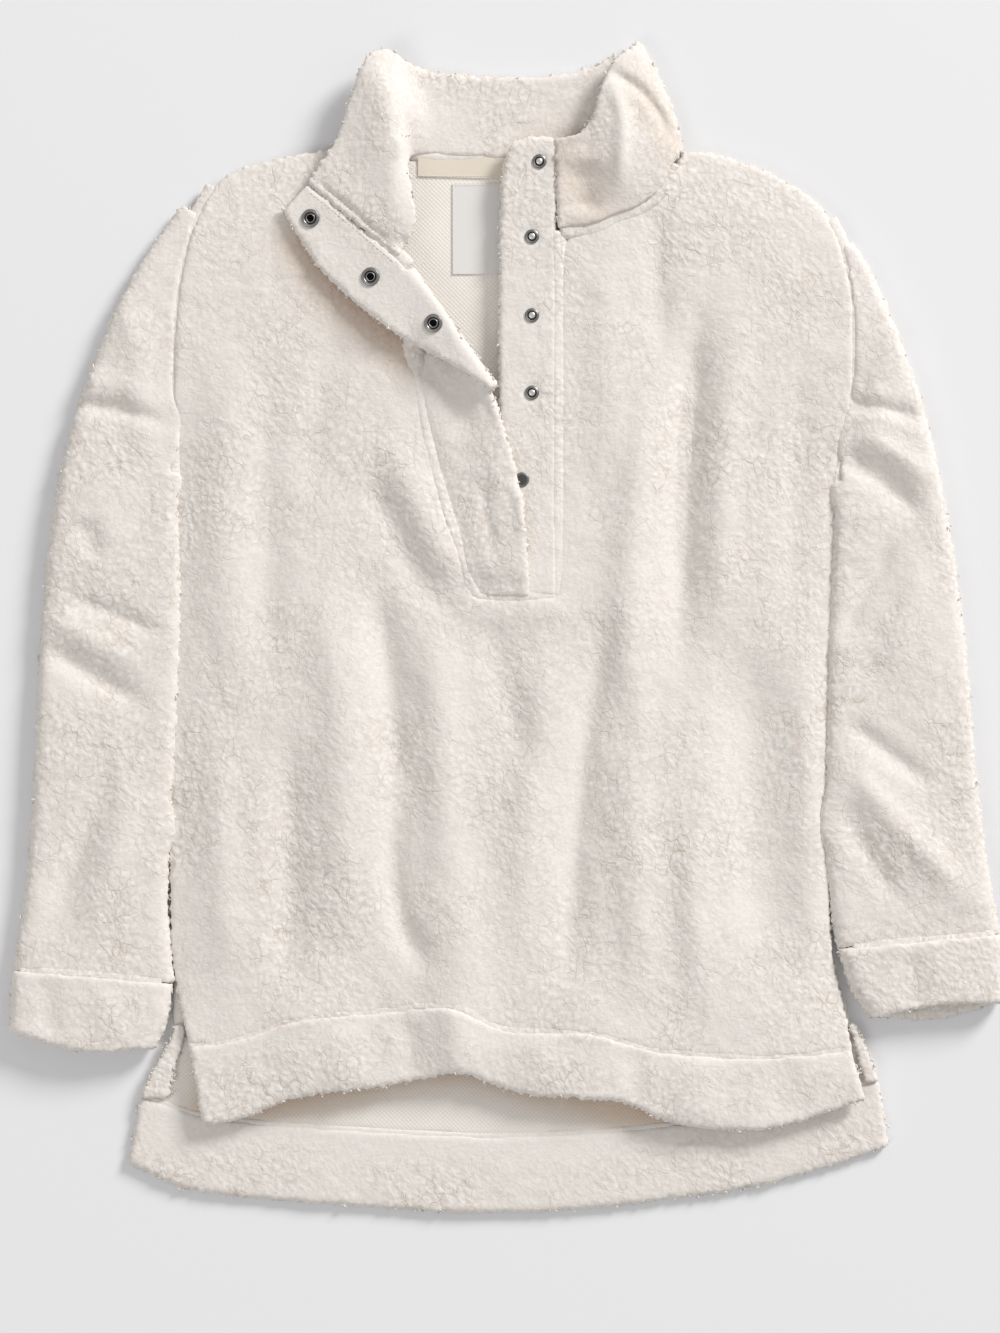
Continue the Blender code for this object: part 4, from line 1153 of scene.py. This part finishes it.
# %% Make the snaps
def snap_shape(name, radius, rings):
    bpy.ops.object.select_all(action="DESELECT")
    bpy.ops.mesh.primitive_cylinder_add(vertices=40, radius=radius, depth=0.6 * MM,
                                        location=(0, 0, 0.3 * MM))
    shape = bpy.context.object
    shape.name = name
    bpy.ops.object.transform_apply(location=True)
    bpy.ops.object.mode_set(mode="EDIT")
    bpy.ops.mesh.select_mode(type="FACE")
    bpy.ops.mesh.select_all(action="DESELECT")
    bpy.ops.object.mode_set(mode="OBJECT")
    top = max(shape.data.polygons, key=lambda face: face.center.z)
    top.select = True
    bpy.ops.object.mode_set(mode="EDIT")
    for ring in rings:
        bpy.ops.mesh.inset(thickness=ring.inset * MM)
        bpy.ops.transform.translate(value=(0, 0, ring.lift * MM))
    bpy.ops.object.mode_set(mode="OBJECT")
    change(shape, "BEVEL", width=0.12 * MM, segments=2, limit_method="ANGLE")
    shape.data.shade_smooth()
    return shape


def snap_from(node):
    """A detailed snap where a CAD snap lies, square to the cloth."""
    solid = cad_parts[node]
    points = points_of(solid)
    middle = points.mean(axis=0)
    normal = np.linalg.svd(points - middle, full_matrices=False)[2][2]
    normal = Vector(normal if normal[2] > 0 else -normal)
    reach = (points - middle) @ np.array(normal)
    base = Vector(middle) + normal * float(reach.min())
    radius = np.linalg.norm(np.cross(points - middle, np.array(normal)), axis=1).max()
    flat = reach.max() - reach.min() < 2 * MM
    rings = SOCKET_RINGS if node.startswith("socket") else FLAT_RINGS if flat else STUD_RINGS
    snap = snap_shape(node + "_snap", float(radius), rings)
    reach = np.hypot(*points_of(snap)[:, :2].T) / radius
    shades = SOCKET_SHADES if node.startswith("socket") else STUD_SHADES
    store(snap, "shade", np.interp(reach, *zip(*shades)))
    turn = Vector((0, 0, 1)).rotation_difference(normal).to_matrix().to_4x4()
    turn.translation = base
    snap.data.transform(turn)
    return dress(snap, snap_metal, "snap_metal", node)


snaps = [snap_from(node) for node in sorted(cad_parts)
         if node.startswith(("socket", "stud"))]
print(len(snaps), "snaps")

# %% [markdown]
# ## The area of each piece
# Half of a closed piece's surface is the cloth itself, so the loop works out that area. It reads
# each row's cut and the pieces it lies on, and keeps none of them.

for row in CLOTHS:
    piece = made[row.node]
    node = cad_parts[row.node]
    area = sum(face.area for face in node.data.polygons) / 2
    width, length = row.cut
    [name + "_cloth" for name in row.lies_on]

# %% [markdown]
# ## Table, light and camera
# The camera looks straight down through a long lens. A large soft light stands at the upper
# right, and a pale world fills the shadows.

# %% Set the stage
bpy.ops.object.select_all(action="DESELECT")
bpy.ops.mesh.primitive_plane_add(size=8, location=(0, 0, -0.0006))
table = bpy.context.object
table.name = "table"
paper = bpy.data.materials.new("paper")
paper.use_nodes = True
paper.node_tree.nodes["Principled BSDF"].inputs["Base Color"].default_value = (0.835, 0.845, 0.865, 1)
paper.node_tree.nodes["Principled BSDF"].inputs["Roughness"].default_value = 0.8
table.data.materials.append(paper)


def add_light(name, place, size, power, colour):
    lamp = bpy.data.lights.new(name, "AREA")
    lamp.shape = "DISK"
    lamp.size = size
    lamp.energy = power
    lamp.color = colour
    thing = add_object(name, lamp)
    thing.location = place
    thing.rotation_euler = (-Vector(place)).to_track_quat("-Z", "Y").to_euler()


add_light("key", (5.8, 6.2, 4.0), 3.0, 830, (1.0, 0.985, 0.965))
add_light("fill", (-3.0, -2.4, 4.0), 3.0, 50, (1.0, 0.98, 0.96))
world = bpy.data.worlds.new("studio")
world.use_nodes = True
world.node_tree.nodes["Background"].inputs["Color"].default_value = (1.0, 0.985, 0.975, 1)
world.node_tree.nodes["Background"].inputs["Strength"].default_value = 0.47
bpy.context.scene.world = world
bpy.context.scene.view_settings.view_transform = "Standard"

# How far the camera hangs above the cloth's middle height, and the length of table that it sees.
CAMERA_HEIGHT = 3.0
MIDDLE_HEIGHT = 10 * MM
SEEN = 999.75 * MM
camera = bpy.data.cameras.new("camera")
camera.lens = camera.sensor_width * CAMERA_HEIGHT / SEEN
camera.clip_end = 20
eye = add_object("camera", camera)
eye.location = (-4.5 * MM, -28.9 * MM, CAMERA_HEIGHT + MIDDLE_HEIGHT)
bpy.context.scene.camera = eye
